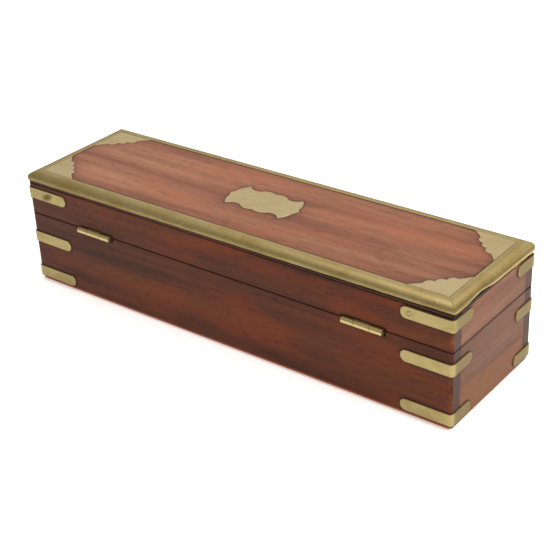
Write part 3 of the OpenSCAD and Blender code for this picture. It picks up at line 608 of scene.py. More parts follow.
def strap_shell(sx, sy, level):
    """A strap wrapped round one upright corner.

    Its middle line runs along the long side, round a quarter circle and along the end. Its
    half width is that of a bar with round ends. Its face falls off to the edge on a quarter
    of an ellipse, and is a little hollow beside it, as where it was filed."""
    radius, bend = STRAP_W / 2, 1.2          # of the round tips, of the wrapped corner
    straight_long = STRAP_LONG - STRAP_T - bend
    straight_short = STRAP_SHORT - STRAP_T - bend
    arc = bend * math.pi / 2
    total = straight_long + arc + straight_short
    tip = radius * np.array([0, 0.015, 0.05, 0.11, 0.2, 0.32, 0.47, 0.64, 0.82])
    s = np.unique(np.concatenate([tip, total - tip, np.linspace(radius, total - radius, 26),
                                  straight_long + arc * np.linspace(0, 1, 8)]))
    from_tip = np.minimum(s, total - s)
    half = np.sqrt(np.maximum(radius ** 2 - np.maximum(radius - from_tip, 0) ** 2, 0))
    w = np.sin(np.linspace(-1, 1, 19) * math.pi / 2)
    across = half[:, None] * w[None]
    edge_gap = radius - np.hypot(np.maximum(radius - from_tip, 0)[:, None], across)
    bevel, hollow = 0.35, 0.05
    rise = np.sqrt(1 - (1 - np.clip(edge_gap / bevel, 0, 1)) ** 2)
    height = STRAP_T * (0.5 + 0.5 * rise)
    height = height - hollow * np.exp(-((edge_gap - 1.2) / 0.9) ** 2) * (edge_gap > 0)

    def place(up):
        """Turns (way along, height above the wood) into (x, y) round the corner."""
        along = s[:, None] - straight_long
        turn = np.clip(along / bend, 0, math.pi / 2)
        x = HALF_L - bend + np.minimum(along, 0) + (bend + up) * np.sin(turn)
        y = HALF_W - bend - np.maximum(along - arc, 0) + (bend + up) * np.cos(turn)
        sheet = np.empty(across.shape + (3,))
        sheet[..., 0], sheet[..., 1], sheet[..., 2] = sx * x, sy * y, level + across
        return sheet

    outer, inner = place(height), place(np.full_like(height, -0.02))
    walls = [np.stack([outer[:, i], inner[:, i]], 1) for i in (0, -1)]
    tips = [np.stack([outer[i], inner[i]]) for i in (0, -1)]
    return join_sheets([outer, inner[:, ::-1], walls[0][:, ::-1], walls[1],
                        tips[0], tips[1][::-1]])


def strap_marks(points):
    """Marks on a strap: tarnish along its edges, in spots on the bend and round the pin, and a
    painted dark reflection over the leg on the end; one lid strap has a dark ring round its pin,
    another a dark oval stain."""
    x, y, z = np.abs(points[:, 0]), np.abs(points[:, 1]), points[:, 2]
    level = (z.min() + z.max()) / 2
    left, rear = points[:, 0].mean() < 0, points[:, 1].mean() > 0
    on_lid, on_long = level > SEAM, y > HALF_W
    ring_r, ring_at = 1.2, HALF_L + STRAP_T - STRAP_LONG + PIN_SET
    stain_at, stain_tilt = HALF_L - 15.7, 0.3
    ring = np.exp(-((np.hypot(x - ring_at, z - level) - ring_r) / 0.5) ** 2) * on_long
    ring *= 0.95 if left and rear and on_lid else 0.12
    edge = 0.7 * smooth_step((np.abs(z - level) - STRAP_W / 2 + 0.5) / 0.5)
    # painted dark reflection: the strap's leg on the end is darkened
    end_leg = 0.66 * smooth_step((x - HALF_L) / 0.3) * smooth_step((HALF_W - 0.5 - y) / 2)
    bend = np.exp(-((HALF_L - x) ** 2 + (HALF_W - y) ** 2) / 5)
    spots = bend * (0.3 if on_lid else 0.1) * (1 + wander(z * 2.1 + x, 1.7))
    stain = ((x - stain_at) / 4.2) ** 2 + ((z - level + stain_tilt * (x - stain_at)) / 2.3) ** 2
    stain = 0.92 * np.exp(-stain ** 2) * on_long * (on_lid and rear and not left)
    clean_unshaded = (1 - ring) * (1 - edge) * (1 - end_leg) * (1 - np.clip(spots, 0, 1)) * (1 - stain)
    return {"dirt": 1 - clean_unshaded, "wear": 0.25 * bend}


def cap_shell(centre, outwards, radius, height):
    """A low domed cap, z = height (1 - r^2), on a short shank."""
    shank = 0.5
    outwards = np.array(outwards, float)
    outwards /= np.linalg.norm(outwards)
    side = np.cross(outwards, (0, 0, 1) if abs(outwards[2]) < 0.9 else (1, 0, 0))
    side /= np.linalg.norm(side)
    turn = np.radians(np.linspace(0, 360, 25))[None, :, None]
    around = side * np.cos(turn) + np.cross(outwards, side) * np.sin(turn)
    r = np.array([0, 0.3, 0.6, 0.85, 1.0, 1.0, 0.0])[:, None, None]
    up = np.where(np.arange(len(r))[:, None, None] < 5, height * (1 - r ** 2), -shank)
    return join_sheets([np.array(centre) + r * radius * around + up * outwards])


def pins_shell(rows, nails):
    """The caps of the pins in the rows of straps, and of the nails in the edging, which
    stand half way round its shoulder: six to a long side and one to an end."""
    pin_r, nail_r, sunk = 1.1, 0.8, 0.06
    x, y = HALF_L + STRAP_T, HALF_W + STRAP_T
    shells = []
    for (row, sx, sy), level in STRAP_Z.items():
        if row in rows:
            shells += [cap_shell((sx * (x - STRAP_LONG + PIN_SET), sy * (y - sunk), level),
                                 (0, sy, 0), pin_r, 0.12),
                       cap_shell((sx * (x - sunk), sy * (y - STRAP_SHORT + PIN_SET), level),
                                 (sx, 0, 0), pin_r, 0.06)]
    if nails:
        span, inset = HALF_L - 11.5, SHOULDER_R * (1 - math.sqrt(0.5))
        spots = [(x, sy * HALF_W, 0, sy) for sy in (-1, 1) for x in np.linspace(-span, span, 6)]
        spots += [(sx * HALF_L, 0, sx, 0) for sx in (-1, 1)]
        for x, y, sx, sy in spots:
            drop = rim_drop(x, y)
            at = (sx * (RIM_HI[0] - inset) if sx else x, sy * (RIM_HI[1] - inset),
                  RIM_HI[2] - inset * drop)
            shells.append(cap_shell(at, (sx * drop, sy * drop, 1), nail_r, 0.1))
    return join_shells(shells)


def ring_shell(half_x, half_y, radius, section):
    """A section of (inwards, height) points carried round a rectangle with round corners;
    an offset inwards shortens both half lengths and the radius alike."""
    section = np.array(list(section) + [section[0]])
    quarter = np.radians(np.linspace(0, 90, 7))
    along, across = 40, 20                   # points along a long and a short side
    loops = []
    for inwards in section[:, 0]:
        hx, hy, r = half_x - inwards, half_y - inwards, max(radius - inwards, 0.05)
        corner = np.stack([hx - r + r * np.cos(quarter), hy - r + r * np.sin(quarter)], 1)
        top = np.stack([np.linspace(hx - r, r - hx, along), np.full(along, hy)], 1)[1:-1]
        side = np.stack([np.full(across, -hx), np.linspace(hy - r, r - hy, across)], 1)[1:-1]
        half_loop = np.concatenate([corner, top, corner[::-1] * (-1, 1), side])
        loops.append(np.concatenate([half_loop, -half_loop, half_loop[:1]]))
    sheet = np.empty((len(section), len(loops[0]), 3))
    sheet[..., :2] = np.array(loops)
    sheet[..., 2] = section[:, 1, None]
    return join_sheets([sheet])


def wall_lining_shell(low, high):
    """Velvet over card against the walls: a section t thick, its free edge rounded over,
    carried round the inside of the box."""
    t = 0.8
    section = [(0, low), (0, high - 0.1), (0.15, high), (0.45, high), (0.7, high - 0.12),
               (t, high - 0.35), (t, (low + high) / 2), (t, low)]
    return ring_shell(IN_L, IN_W, 0.9, section)


def pad_shell(lo, hi, crown, up):
    """A flat padded panel: its face swells like a flattened dome, (1 - x^6)(1 - y^6) high,
    with two slow waves in it, and its sides pull in between the corners."""
    points, faces = block(lo, hi, (1.6, 1.6, 0.8), (1.6, 1.6, 0.8), (3.0, 3.0, 0.9))
    middle, half = (lo + hi) / 2, (hi - lo) / 2
    x, y, z = ((points - middle) / half).T
    free = z if up else -z
    dome = (1 - np.abs(x) ** 6) * (1 - np.abs(y) ** 6)
    wave = 0.12 * wander(points[:, 0] * 0.12, 2.0) * wander(points[:, 1] * 0.2, 5.0)
    shrink = crown * (1 - dome) - wave * dome
    points[:, 2] -= np.where(free > 0, shrink * free, 0) * (1 if up else -1)
    points[:, 0] -= 0.5 * np.sign(x) * np.abs(x) ** 8 * (1 - y ** 2)
    points[:, 1] -= 0.4 * np.sign(y) * np.abs(y) ** 8 * (1 - x ** 2)
    return points, faces


def channel_shell(lo, hi):
    """The velvet bed of three pen channels.

    Its height is that of the ridges, or of a round groove where one is lower, and it is
    averaged over a little more than a millimetre across, as cloth rounds the ridges off."""
    pitch, radius, bottom = 19.0, 8.4, 2.6
    deep = hi[2] - lo[2]
    points, faces = block(lo, hi, (0.6, 0.6, 0.1), (0.6, 0.6, 0.1), (3.0, 0.6, 3.0))

    def bed(y):
        """Height over the underside, as far as the ridges' height."""
        off = np.abs(y - pitch * np.round(np.clip(y / pitch, -1, 1)))
        groove = radius - np.sqrt(np.maximum(radius ** 2 - off ** 2, 0)) + bottom
        return np.where(off < radius, np.minimum(groove, deep), deep)

    taps = np.linspace(-0.7, 0.7, 7)
    share = np.mean([bed(points[:, 1] + t) for t in taps], axis=0) / deep
    edge = smooth_step((hi[0] - lo[0]) / 2 - np.abs(points[:, 0] - (lo[0] + hi[0]) / 2))
    nap = 0.06 * wander(points[:, 0] * 0.25, 1.0) * wander(points[:, 1] * 0.4, 2.0)
    up = (points[:, 2] - lo[2]) / deep
    points[:, 2] += up * ((share - 1) * deep + (nap - 0.05) * edge)
    return points, faces


def pull_shell(lo, hi, sx):
    """A ribbon tab that leans a little into the tray above its glued foot: by the square of
    the height, with a slow sine across its width."""
    points, faces = block(lo, hi, (0.3, 0.4, 0.3), (0.3, 0.4, 0.3), (0.5, 1.0, 0.5))
    up = (points[:, 2] - lo[2]) / (hi[2] - lo[2])
    points[:, 0] -= sx * (0.25 * up ** 2 + 0.12 * up * np.sin(points[:, 1] * 0.55))
    return points, faces


# ---- finishes -------------------------------------------------------------------

def linear(code):
    """A colour written as sRGB hex, as linear red, green and blue with a full alpha."""
    parts = [int(code[i:i + 2], 16) / 255 for i in (1, 3, 5)]
    return (*(p / 12.92 if p <= 0.04045 else ((p + 0.055) / 1.055) ** 2.4 for p in parts), 1.0)


def dim(colour, share):
    """A share of a colour's light."""
    return (*(part * share for part in colour[:3]), 1.0)


def add(tree, kind, inputs, out=0, stops=(), **settings):
    """Adds a shader node with its settings, its inputs (each a value, or a socket to link)
    and a ramp's stops, and returns one of its outputs."""
    node = tree.nodes.new("ShaderNode" + kind)
    for key, value in settings.items():
        setattr(node, key, value)
    for key, value in inputs.items():
        if isinstance(value, bpy.types.NodeSocket):
            tree.links.new(value, node.inputs[key])
        else:
            node.inputs[key].default_value = value
    for place, (at, value) in enumerate(stops):
        if place > 1:
            node.color_ramp.elements.new(at)
        stop = node.color_ramp.elements[place]
        stop.position = at
        stop.color = value if isinstance(value, tuple) else (value, value, value, 1.0)
    return node.outputs[out] if node.outputs else None


def new_material(name):
    """An empty node material, its node tree and the place on the object."""
    material = bpy.data.materials.new(name)
    material.use_nodes = True
    tree = material.node_tree
    tree.nodes.clear()
    return material, tree, add(tree, "TexCoord", {}, "Object")


def surface(tree, sockets):
    """Ends a material with its shader; what is the same all over is set on its sockets."""
    add(tree, "OutputMaterial", {"Surface": add(tree, "BsdfPrincipled", sockets)})


def pattern(tree, place, size, detail=3.0, rough=0.55, warp=0.0):
    """Noise whose grains are about size = (x, y, z) millimetres."""
    scale = tuple(1 / (MM * s) for s in size)
    mapped = add(tree, "Mapping", {"Vector": place, "Scale": scale})
    return add(tree, "TexNoise", {"Vector": mapped, "Scale": 1.0, "Detail": detail,
                                  "Roughness": rough, "Distortion": warp}, "Fac")


def weighted(tree, base, *parts):
    """The sum of a base and of each pattern times its weight."""
    for socket, weight in parts:
        base = add(tree, "Math", {0: socket, 1: weight, 2: base}, operation="MULTIPLY_ADD")
    return base


def coat(tree, under, over, share, strength=1.0, blend="MIX"):
    """Lays one colour over another. The share that it covers is a number, a pattern or the
    name of a mark stored on the mesh, times the strength."""
    if isinstance(share, str):
        share = add(tree, "Attribute", {}, "Fac", attribute_name=share)
    if strength < 1.0:
        share = add(tree, "Math", {0: share, 1: strength}, operation="MULTIPLY")
    return add(tree, "Mix", {0: share, 6: under, 7: over}, 2, data_type="RGBA",
               blend_type=blend)


def hardwood(name, dark, middle, light, glow, rough, end=False):
    """Old mahogany under a rubbed shellac finish: long soft bands and fine streaks along
    the grain, short dark pores, a satin gloss, and dirt and painted shade, wear and painted
    highlight, where the mesh marks them.
    Pores are really 0.2 mm across; here they are 0.6 mm, to show at all. On the ends the
    grain runs across the box, and the lower part is pale sapwood, to a slanting line."""
    material, tree, place = new_material(name)

    def grain(length, width, *rest):
        """Noise drawn out along the grain, in millimetres."""
        return pattern(tree, place, (width, length, width) if end else (length, width, width),
                       *rest)

    bands = grain(210, 15, 3.0, 0.5, 0.6)
    streaks = grain(85, 1.9, 5.0, 0.62, 0.2)
    lines = grain(150, 4.6, 2.0, 0.5, 0.4)
    blotch = grain(62, 24, 2.0)
    pores = add(tree, "ValToRGB", {"Fac": grain(9, 0.6, 1.0)}, stops=[(0.3, 0.0), (0.4, 1.0)])
    zones = add(tree, "ValToRGB", {"Fac": blotch}, stops=[(0.46, 0.0), (0.68, 0.7)])
    figure = weighted(tree, 0.0, (bands, 0.5), (streaks, 0.27), (lines, 0.23))
    colour = add(tree, "ValToRGB", {"Fac": figure},
                 stops=[(0.36, dark), (0.5, middle), (0.64, light)])
    colour = coat(tree, colour, glow, zones)
    if end:
        # height in millimetres, to a line that rises to the rear and strays by about 3 mm
        y, z = (add(tree, "SeparateXYZ", {"Vector": place}, axis) for axis in "YZ")
        level = weighted(tree, -3.0, (z, 1 / MM), (y, -0.03 / MM), (blotch, 6.0))
        below = add(tree, "MapRange", {"Value": level, "From Min": 21.5, "From Max": 19.5},
                    interpolation_type="SMOOTHSTEP")
        sapwood = coat(tree, linear("#623719"), linear("#82572e"), streaks)
        colour = coat(tree, colour, sapwood, below, 0.85)
    colour = coat(tree, colour, linear("#1d1311"), "end_grain", 0.9)
    colour = coat(tree, colour, pores, 0.45, blend="MULTIPLY")
    # a pale orange where the mesh marks wear and painted highlight
    colour = coat(tree, colour, linear("#a4521f"), "wear", 0.92)
    # near-black where the mesh marks dirt and painted shade
    colour = coat(tree, colour, linear("#170b07"), "dirt")
    gloss = add(tree, "MapRange", {"Value": streaks, "From Min": 0.3, "From Max": 0.7,
                                   "To Min": rough - 0.05, "To Max": rough + 0.09})
    height = weighted(tree, 0.0, (streaks, 0.6), (pores, 0.4))
    bump = add(tree, "Bump", {"Height": height, "Strength": 0.45, "Distance": 0.08 * MM})
    surface(tree, {"Base Color": colour, "Roughness": gloss, "Normal": bump, "IOR": 1.47,
                   "Specular IOR Level": 0.13})
    return material


def aged_brass(name, bright, ochre, brown, rough, age, coarse=1.0):
    """Old brass sheet, hand formed and last polished long ago: a soft warm grey-gold with
    ochre clouds, brown tarnish and painted dark reflections where the mesh marks them, fine
    rubbing scratches and the slight waves of beaten sheet. Scratches are drawn 0.3 mm wide so
    that they show."""
    material, tree, place = new_material(name)
    cloud = pattern(tree, place, (16 * coarse, 11 * coarse, 11 * coarse), 4.0, 0.6, 0.4)
    speck = pattern(tree, place, (1.3, 1.3, 1.3), 3.0, 0.65)
    scratch = pattern(tree, place, (5.5, 0.3, 0.5), 2.0, 0.6, 0.5)
    waves = pattern(tree, place, (7.0, 7.0, 7.0), 1.0)
    dirt = add(tree, "Attribute", {}, "Fac", attribute_name="dirt")
    clouds = add(tree, "ValToRGB", {"Fac": cloud}, stops=[(0.42, 0.0), (0.66, 1.0)])
    specks = add(tree, "ValToRGB", {"Fac": speck}, stops=[(0.55, 0.0), (0.72, 1.0)])
    colour = coat(tree, bright, ochre, clouds, age)
    colour = coat(tree, colour, brown, specks, 0.5 * age)
    # brown where the mesh marks tarnish and painted dark reflections
    colour = coat(tree, colour, brown, dirt, 0.92)
    # paler brass where the mesh marks wear and painted highlights
    colour = coat(tree, colour, linear("#d8c68c"), "wear", 0.6)
    gloss = weighted(tree, rough - 0.14, (cloud, 0.12), (scratch, 0.16), (dirt, 0.12))
    height = weighted(tree, 0.0, (waves, 3.0), (scratch, 0.35))
    bump = add(tree, "Bump", {"Height": height, "Strength": 0.5, "Distance": 0.05 * MM})
    surface(tree, {"Base Color": colour, "Roughness": gloss, "Normal": bump, "Metallic": 1.0})
    return material


def cotton_velvet(name, deep, light):
    """Cotton velvet glued over card: a short matt pile that is brushed this way and that in
    soft patches, and lighter where it is seen edge on. Tufts are drawn 0.7 mm apart."""
    material, tree, place = new_material(name)
    brushed = pattern(tree, place, (26, 17, 14), 3.0, 0.55, 1.2)
    pile = pattern(tree, place, (0.7, 0.7, 0.7), 2.0, 0.7)
    tone = weighted(tree, 0.0, (brushed, 0.6), (pile, 0.4))
    colour = add(tree, "ValToRGB", {"Fac": tone}, stops=[(0.36, deep), (0.66, light)])
    bump = add(tree, "Bump", {"Height": pile, "Strength": 0.7, "Distance": 0.25 * MM})
    surface(tree, {"Base Color": colour, "Normal": bump, "Roughness": 0.95,
                   "Specular IOR Level": 0.15, "Sheen Weight": 0.55, "Sheen Roughness": 0.4,
                   "Sheen Tint": linear("#6f9a84")})
    return material


def silk_ribbon(name, base):
    """Woven silk ribbon: fine ribs across its length, drawn 0.8 mm apart, and a soft sheen."""
    material, tree, place = new_material(name)
    mapped = add(tree, "Mapping", {"Vector": place, "Scale": (1 / MM, 1 / MM, 1 / MM)})
    ribs = add(tree, "TexWave", {"Vector": mapped, "Scale": 0.4, "Distortion": 0.3}, "Fac",
               bands_direction="Z")
    colour = coat(tree, dim(base, 0.55), base, ribs)
    bump = add(tree, "Bump", {"Height": ribs, "Strength": 0.4, "Distance": 0.1 * MM})
    surface(tree, {"Base Color": colour, "Normal": bump, "Roughness": 0.5,
                   "Sheen Weight": 0.4})
    return material


def pale_floor(name, colour, lift):
    """Matt white card; a little light of its own keeps the object's shadow soft."""
    material, tree, place = new_material(name)
    fibre = pattern(tree, place, (2.0, 2.0, 2.0))
    tone = coat(tree, colour, dim(colour, 0.9), fibre, 0.04)
    surface(tree, {"Base Color": tone, "Roughness": 0.9, "Emission Color": colour,
                   "Emission Strength": lift})
    return material


# Each finish: its maker, then its colours (sRGB hex, or the name of a colour setting) and
# the maker's other values.
FINISHES = {
    # deep red-brown boards with a satin gloss, as shellac leaves them
    "polished_mahogany": (hardwood, "dark", "middle", "light", "glow", 0.36),
    # the top: paler, pinker and a little duller, the boards' wood with the sheen of the light
    # painted into its colours
    "polished_mahogany_top": (hardwood, "#6c4130", "top_middle", "#98694f", "#8f573e", 0.4),
    # the ends, greyer and drier, with sapwood below; their grey is partly the sheen of the light,
    # painted into their colours
    "polished_mahogany_end": (hardwood, "#4a2c20", "end_middle", "#74543e", "#6e452c", 0.42,
                              True),
    # unpolished light wood, dull
    "waxed_tray_wood": (hardwood, "#6e4628", "tray", "#b58458", "#a06c40", 0.5),
    # handled often, so cloudy and dull gold
    "aged_edging_brass": (aged_brass, "bright", "ochre", "brown", 0.48, 0.6),
    # flat plates, rubbed with the wood: even and pale
    "aged_plate_brass": (aged_brass, "#c4b086", "#b09c6c", "brown", 0.46, 0.5, 2.0),
    # thicker sheet, smoother and a little darker
    "aged_strap_brass": (aged_brass, "#a09062", "#8d7848", "brown", 0.42, 0.5),
    # solid fittings with a closer gloss and small clouds
    "hardware_brass": (aged_brass, "hardware", "ochre", "brown", 0.38, 0.8, 0.5),
    # deep green that swallows the light
    "green_cotton_velvet": (cotton_velvet, "velvet_deep", "velvet_light"),
    # a wine red with a soft shine
    "red_silk_ribbon": (silk_ribbon, "ribbon"),
}


# ---- settings -------------------------------------------------------------------

def colour_setting(name, description, code):
    """A colour setting whose default is an sRGB hex value."""
    return FloatVectorProperty(name=name, description=description, subtype="COLOR", size=3,
                               min=0.0, max=1.0, default=linear(code)[:3])


def length_setting(name, description, value, low, high):
    """A length setting: given here in millimetres, kept in metres."""
    return FloatProperty(name=name, description=description, default=value * MM, min=low * MM,
                         max=high * MM, subtype="DISTANCE", unit="LENGTH", precision=4)


def angle_setting(name, description, degrees):
    """An angle setting, given in degrees."""
    return FloatProperty(name=name, description=description, default=math.radians(degrees),
                         subtype="ANGLE", unit="ROTATION")


def in_mm(length):
    """A length setting in millimetres."""
    return round(length / MM, 3)


class PenBoxWood(bpy.types.PropertyGroup):
    """Colours of the hardwood and the rounding of the lower edge."""
    foot: length_setting("Lower edge", "Rounding of the lower outside edge", 3.0, 1.0, 4.0)
    dark: colour_setting("Dark grain", "Darkest bands of the boards", "#3a1b0e")
    middle: colour_setting("Middle grain", "Main colour of the boards", "#572913")
    light: colour_setting("Light grain", "Lightest bands of the boards", "#683415")
    glow: colour_setting("Glow", "Orange-red zones of the boards", "#733010")
    # the top's main colour is lighter than the boards': painted sheen
    top_middle: colour_setting("Top", "Main colour of the lid's top board", "#82543f")
    # the ends' main colour is greyer than the boards', partly painted sheen
    end_middle: colour_setting("Ends", "Main colour of the end boards", "#624130")
    tray: colour_setting("Tray", "Main colour of the tray's wood", "#9a6a44")


class PenBoxBrass(bpy.types.PropertyGroup):
    """Colours of the brass."""
    bright: colour_setting("Brass", "Rubbed brass", "#a99767")
    ochre: colour_setting("Ochre", "Clouds of old lacquer and tarnish", "#987c44")
    # the brown also paints the dark reflections that the marks lay on the edging and straps
    brown: colour_setting("Tarnish", "Brown tarnish in the corners", "#5c4a26")
    hardware: colour_setting("Hardware", "Hinges, screws and the lock", "#b59a5c")


class PenBoxLining(bpy.types.PropertyGroup):
    """Colours and fullness of the lining."""
    velvet_deep: colour_setting("Velvet", "Velvet seen into its pile", "#16302a")
    velvet_light: colour_setting("Velvet, brushed", "Velvet brushed the other way", "#2a5245")
    ribbon: colour_setting("Ribbon", "The tray's lifting tabs", "#7a1f2b")
    crown: length_setting("Lid pad crown", "How far the lid's pad falls off to its edges",
                          1.1, 0.2, 2.0)


class PenBoxStage(bpy.types.PropertyGroup):
    """Camera and light."""
    azimuth: angle_setting("Azimuth", "Direction that the camera stands in", 218.468)
    elevation: angle_setting("Elevation", "Height of the camera over the horizon", 29.156)
    roll: angle_setting("Roll", "Turn of the camera about its view", -2.79)
    distance: length_setting("Distance", "From the camera to the point that it looks at",
                             771.02, 300, 3000)
    aim: FloatVectorProperty(name="Aim", description="Point that the camera looks at", size=3,
                             subtype="TRANSLATION", unit="LENGTH",
                             default=(-0.01022, 0.000556, 0.028489))
    lens: FloatProperty(name="Lens", description="Focal length on a 36 mm wide sensor",
                        default=83.58, min=20.0, max=200.0, unit="CAMERA")
    floor: colour_setting("Floor", "Pale card that the box stands on", "#e2e2e1")


class PenBoxSettings(bpy.types.PropertyGroup):
    """All settings of the pen box."""
    wood: PointerProperty(type=PenBoxWood)
    brass: PointerProperty(type=PenBoxBrass)
    lining: PointerProperty(type=PenBoxLining)
    stage: PointerProperty(type=PenBoxStage)


def finish(name, settings):
    """The named finish, made from the settings when it is first asked for."""
    made = bpy.data.materials.get(name)
    if made:
        return made
    tones = {key: getattr(group, key)
             for group in (settings.wood, settings.brass, settings.lining)
             for key in group.__annotations__}
    maker, *values = FINISHES[name]
    for place, value in enumerate(values):
        if isinstance(value, str):
            values[place] = linear(value) if value[0] == "#" else (*tones[value], 1.0)
    return maker(name, *values)


# ---- operators ------------------------------------------------------------------

class PENBOX_OT_base_boards(bpy.types.Operator):
    """Add the four boards of the base and finish its bottom board"""
    bl_idname = "pen_box.base_boards"
    bl_label = "Base boards"

    def execute(self, context):
        settings = context.scene.pen_box
        foot = in_mm(settings.wood.foot)
        board = finish("polished_mahogany", settings)
        end = finish("polished_mahogany_end", settings)
        rear = rear_shell(0, BASE_TOP, foot, np.minimum, BASE_TOP - LEAF_T)
        for side, shell, wood in (("front", lock_board(foot), board), ("rear", rear, board),
                                  ("left", end_board(-1, 0, BASE_TOP, foot), end),
                                  ("right", end_board(1, 0, BASE_TOP, foot), end)):
            make_piece(f"base_{side}_panel", shell, wood, "base",
                       [f"base_{side}_board"], side_marks)
        dress("bottom_board", board)
        return {"FINISHED"}


class PENBOX_OT_lid_boards(bpy.types.Operator):
    """Add the lid's four rails and its top board"""
    bl_idname = "pen_box.lid_boards"
    bl_label = "Lid boards"

    def execute(self, context):
        settings = context.scene.pen_box
        board = finish("polished_mahogany", settings)
        end = finish("polished_mahogany_end", settings)
        pocket = (LID_LOW, RAIL_TOP, 0, np.maximum, LID_LOW + LEAF_T)
        for side, shell, wood in (("front", front_shell(*pocket), board),
                                  ("rear", rear_shell(*pocket), board),
                                  ("left", end_board(-1, LID_LOW, RAIL_TOP, 0), end),
                                  ("right", end_board(1, LID_LOW, RAIL_TOP, 0), end)):
            make_piece(f"lid_{side}_panel", shell, wood, "lid",
                       [f"lid_{side}_rail"], side_marks)
        make_piece("lid_top_panel", top_shell(), finish("polished_mahogany_top", settings),
                   "lid", ["lid_top_board"], top_marks)
        return {"FINISHED"}


class PENBOX_OT_edging(bpy.types.Operator):
    """Add the formed brass edging round the lid"""
    bl_idname = "pen_box.edging"
    bl_label = "Edging"

    def execute(self, context):
        brass = finish("aged_edging_brass", context.scene.pen_box)
        for side in ("front", "rear", "left", "right"):
            make_piece(f"rim_{side}", rim_shell(side), brass, "lid",
                       [f"edging_{side}"], rim_marks, sharp=50)
        return {"FINISHED"}


class PENBOX_OT_plates(bpy.types.Operator):
    """Add the four corner plates and the cartouche, let into the lid's top"""
    bl_idname = "pen_box.plates"
    bl_label = "Inlaid plates"

    def execute(self, context):
        brass = finish("aged_plate_brass", context.scene.pen_box)
        thickness, joint = PLATE_HI[2] - PLATE_LO[2], 0.12
        for sx, across in ((-1, "left"), (1, "right")):
            for sy, along in ((-1, "front"), (1, "rear")):
                corner = np.array([[sx * (RIM_IN_X - joint), sy * (RIM_IN_Y - joint)]])
                shell = plate_shell(corner, corner - plate_edge() * (sx, sy), thickness,
                                    PLATE_HI[2])
                make_piece(f"inlay_{along}_{across}", shell, brass, "lid",
                           [f"corner_plate_{along}_{across}"])
        half = cartouche_half()
        shell = plate_shell(CART_AT + half, CART_AT + half * (1, -1), thickness, CART_HI[2])
        make_piece("inlay_cartouche", shell, brass, "lid", ["cartouche"])
        return {"FINISHED"}


class PENBOX_OT_straps(bpy.types.Operator):
    """Add the twelve straps that wrap the upright corners, and the heads of their pins"""
    bl_idname = "pen_box.straps"
    bl_label = "Corner straps"

    def execute(self, context):
        brass = finish("aged_strap_brass", context.scene.pen_box)
        for (row, sx, sy), level in STRAP_Z.items():
            corner = ("front_" if sy < 0 else "rear_") + ("left" if sx < 0 else "right")
            make_piece(f"strap_{row}_{corner}", strap_shell(sx, sy, level), brass,
                       "lid" if row == "lid" else "base",
                       [f"{row}_strap_{corner}"], strap_marks)
        make_piece("lid_pin_heads", pins_shell(("lid",), True), brass, "lid",
                   ["lid_pins"])
        make_piece("base_pin_heads", pins_shell(("upper", "lower"), False), brass, "base",
                   ["base_pins"])
        return {"FINISHED"}


class PENBOX_OT_hardware(bpy.types.Operator):
    """Finish the hinges, the screws, the lock and its escutcheon"""
    bl_idname = "pen_box.hardware"
    bl_label = "Hinges and lock"

    def execute(self, context):
        brass = finish("hardware_brass", context.scene.pen_box)
        for side in ("left", "right"):
            for part in ("base_leaf", "lid_leaf", "pin"):
                dress(f"{side}_hinge_{part}", brass)
        for node in ("base_screws", "lid_screws", "lock_case", "lock_bolt", "lid_link_plate",
                     "escutcheon"):
            dress(node, brass)
        return {"FINISHED"}


class PENBOX_OT_lining(bpy.types.Operator):
    """Add the velvet on the walls and the floor, and the lid's padded panel"""
    bl_idname = "pen_box.lining"
    bl_label = "Lining"

    def execute(self, context):
        settings = context.scene.pen_box
        velvet = finish("green_cotton_velvet", settings)
        for body in ("base", "lid"):
            low, high = (corner[2] for corner in corners(f"{body}_wall_lining"))
            shell = wall_lining_shell(low, high)
            if body == "lid":
                shell[0][:, 2] = low + high - shell[0][:, 2]
            make_piece(f"{body}_wall_velvet", shell, velvet, body,
                       [f"{body}_wall_lining"])
        shell = pad_shell(*corners("base_floor_lining"), 0.25, True)
        make_piece("base_floor_velvet", shell, velvet, "base", ["base_floor_lining"])
        shell = pad_shell(*corners("lid_pad"), in_mm(settings.lining.crown), False)
        pad = make_piece("lid_padded_panel", shell, velvet, "lid", ["lid_pad"])
        return {"FINISHED"}


class PENBOX_OT_tray(bpy.types.Operator):
    """Add the pen tray: rails, divider, velvet pen channels and ribbon tabs"""
    bl_idname = "pen_box.tray"
    bl_label = "Pen tray"

    def execute(self, context):
        settings = context.scene.pen_box
        wood = finish("waxed_tray_wood", settings)
        velvet = finish("green_cotton_velvet", settings)
        for node in ("tray_front_rail", "tray_rear_rail", "tray_left_rail", "tray_right_rail",
                     "tray_divider"):
            shell = block(*corners(node), (0.3, 0.3, 0.2), (0.3, 0.3, 0.9), (3.0, 3.0, 2.0))
            make_piece(node + "_shaped", shell, wood, "tray", [node])
        for node in ("tray_floor", "tray_ledgers"):
            dress(node, wood)
        for side in ("left", "right"):
            node = f"pen_channels_{side}"
            make_piece(f"pen_bed_{side}", channel_shell(*corners(node)), velvet, "tray",
                       [node])
        lo, hi = corners("tray_pulls")
        tabs = [pull_shell(np.array([hi[0] - RIBBON_T, *lo[1:]]), hi, 1),
                pull_shell(lo, np.array([lo[0] + RIBBON_T, *hi[1:]]), -1)]
        make_piece("ribbon_pulls", join_shells(tabs), finish("red_silk_ribbon", settings),
                   "tray", ["tray_pulls"])
        return {"FINISHED"}


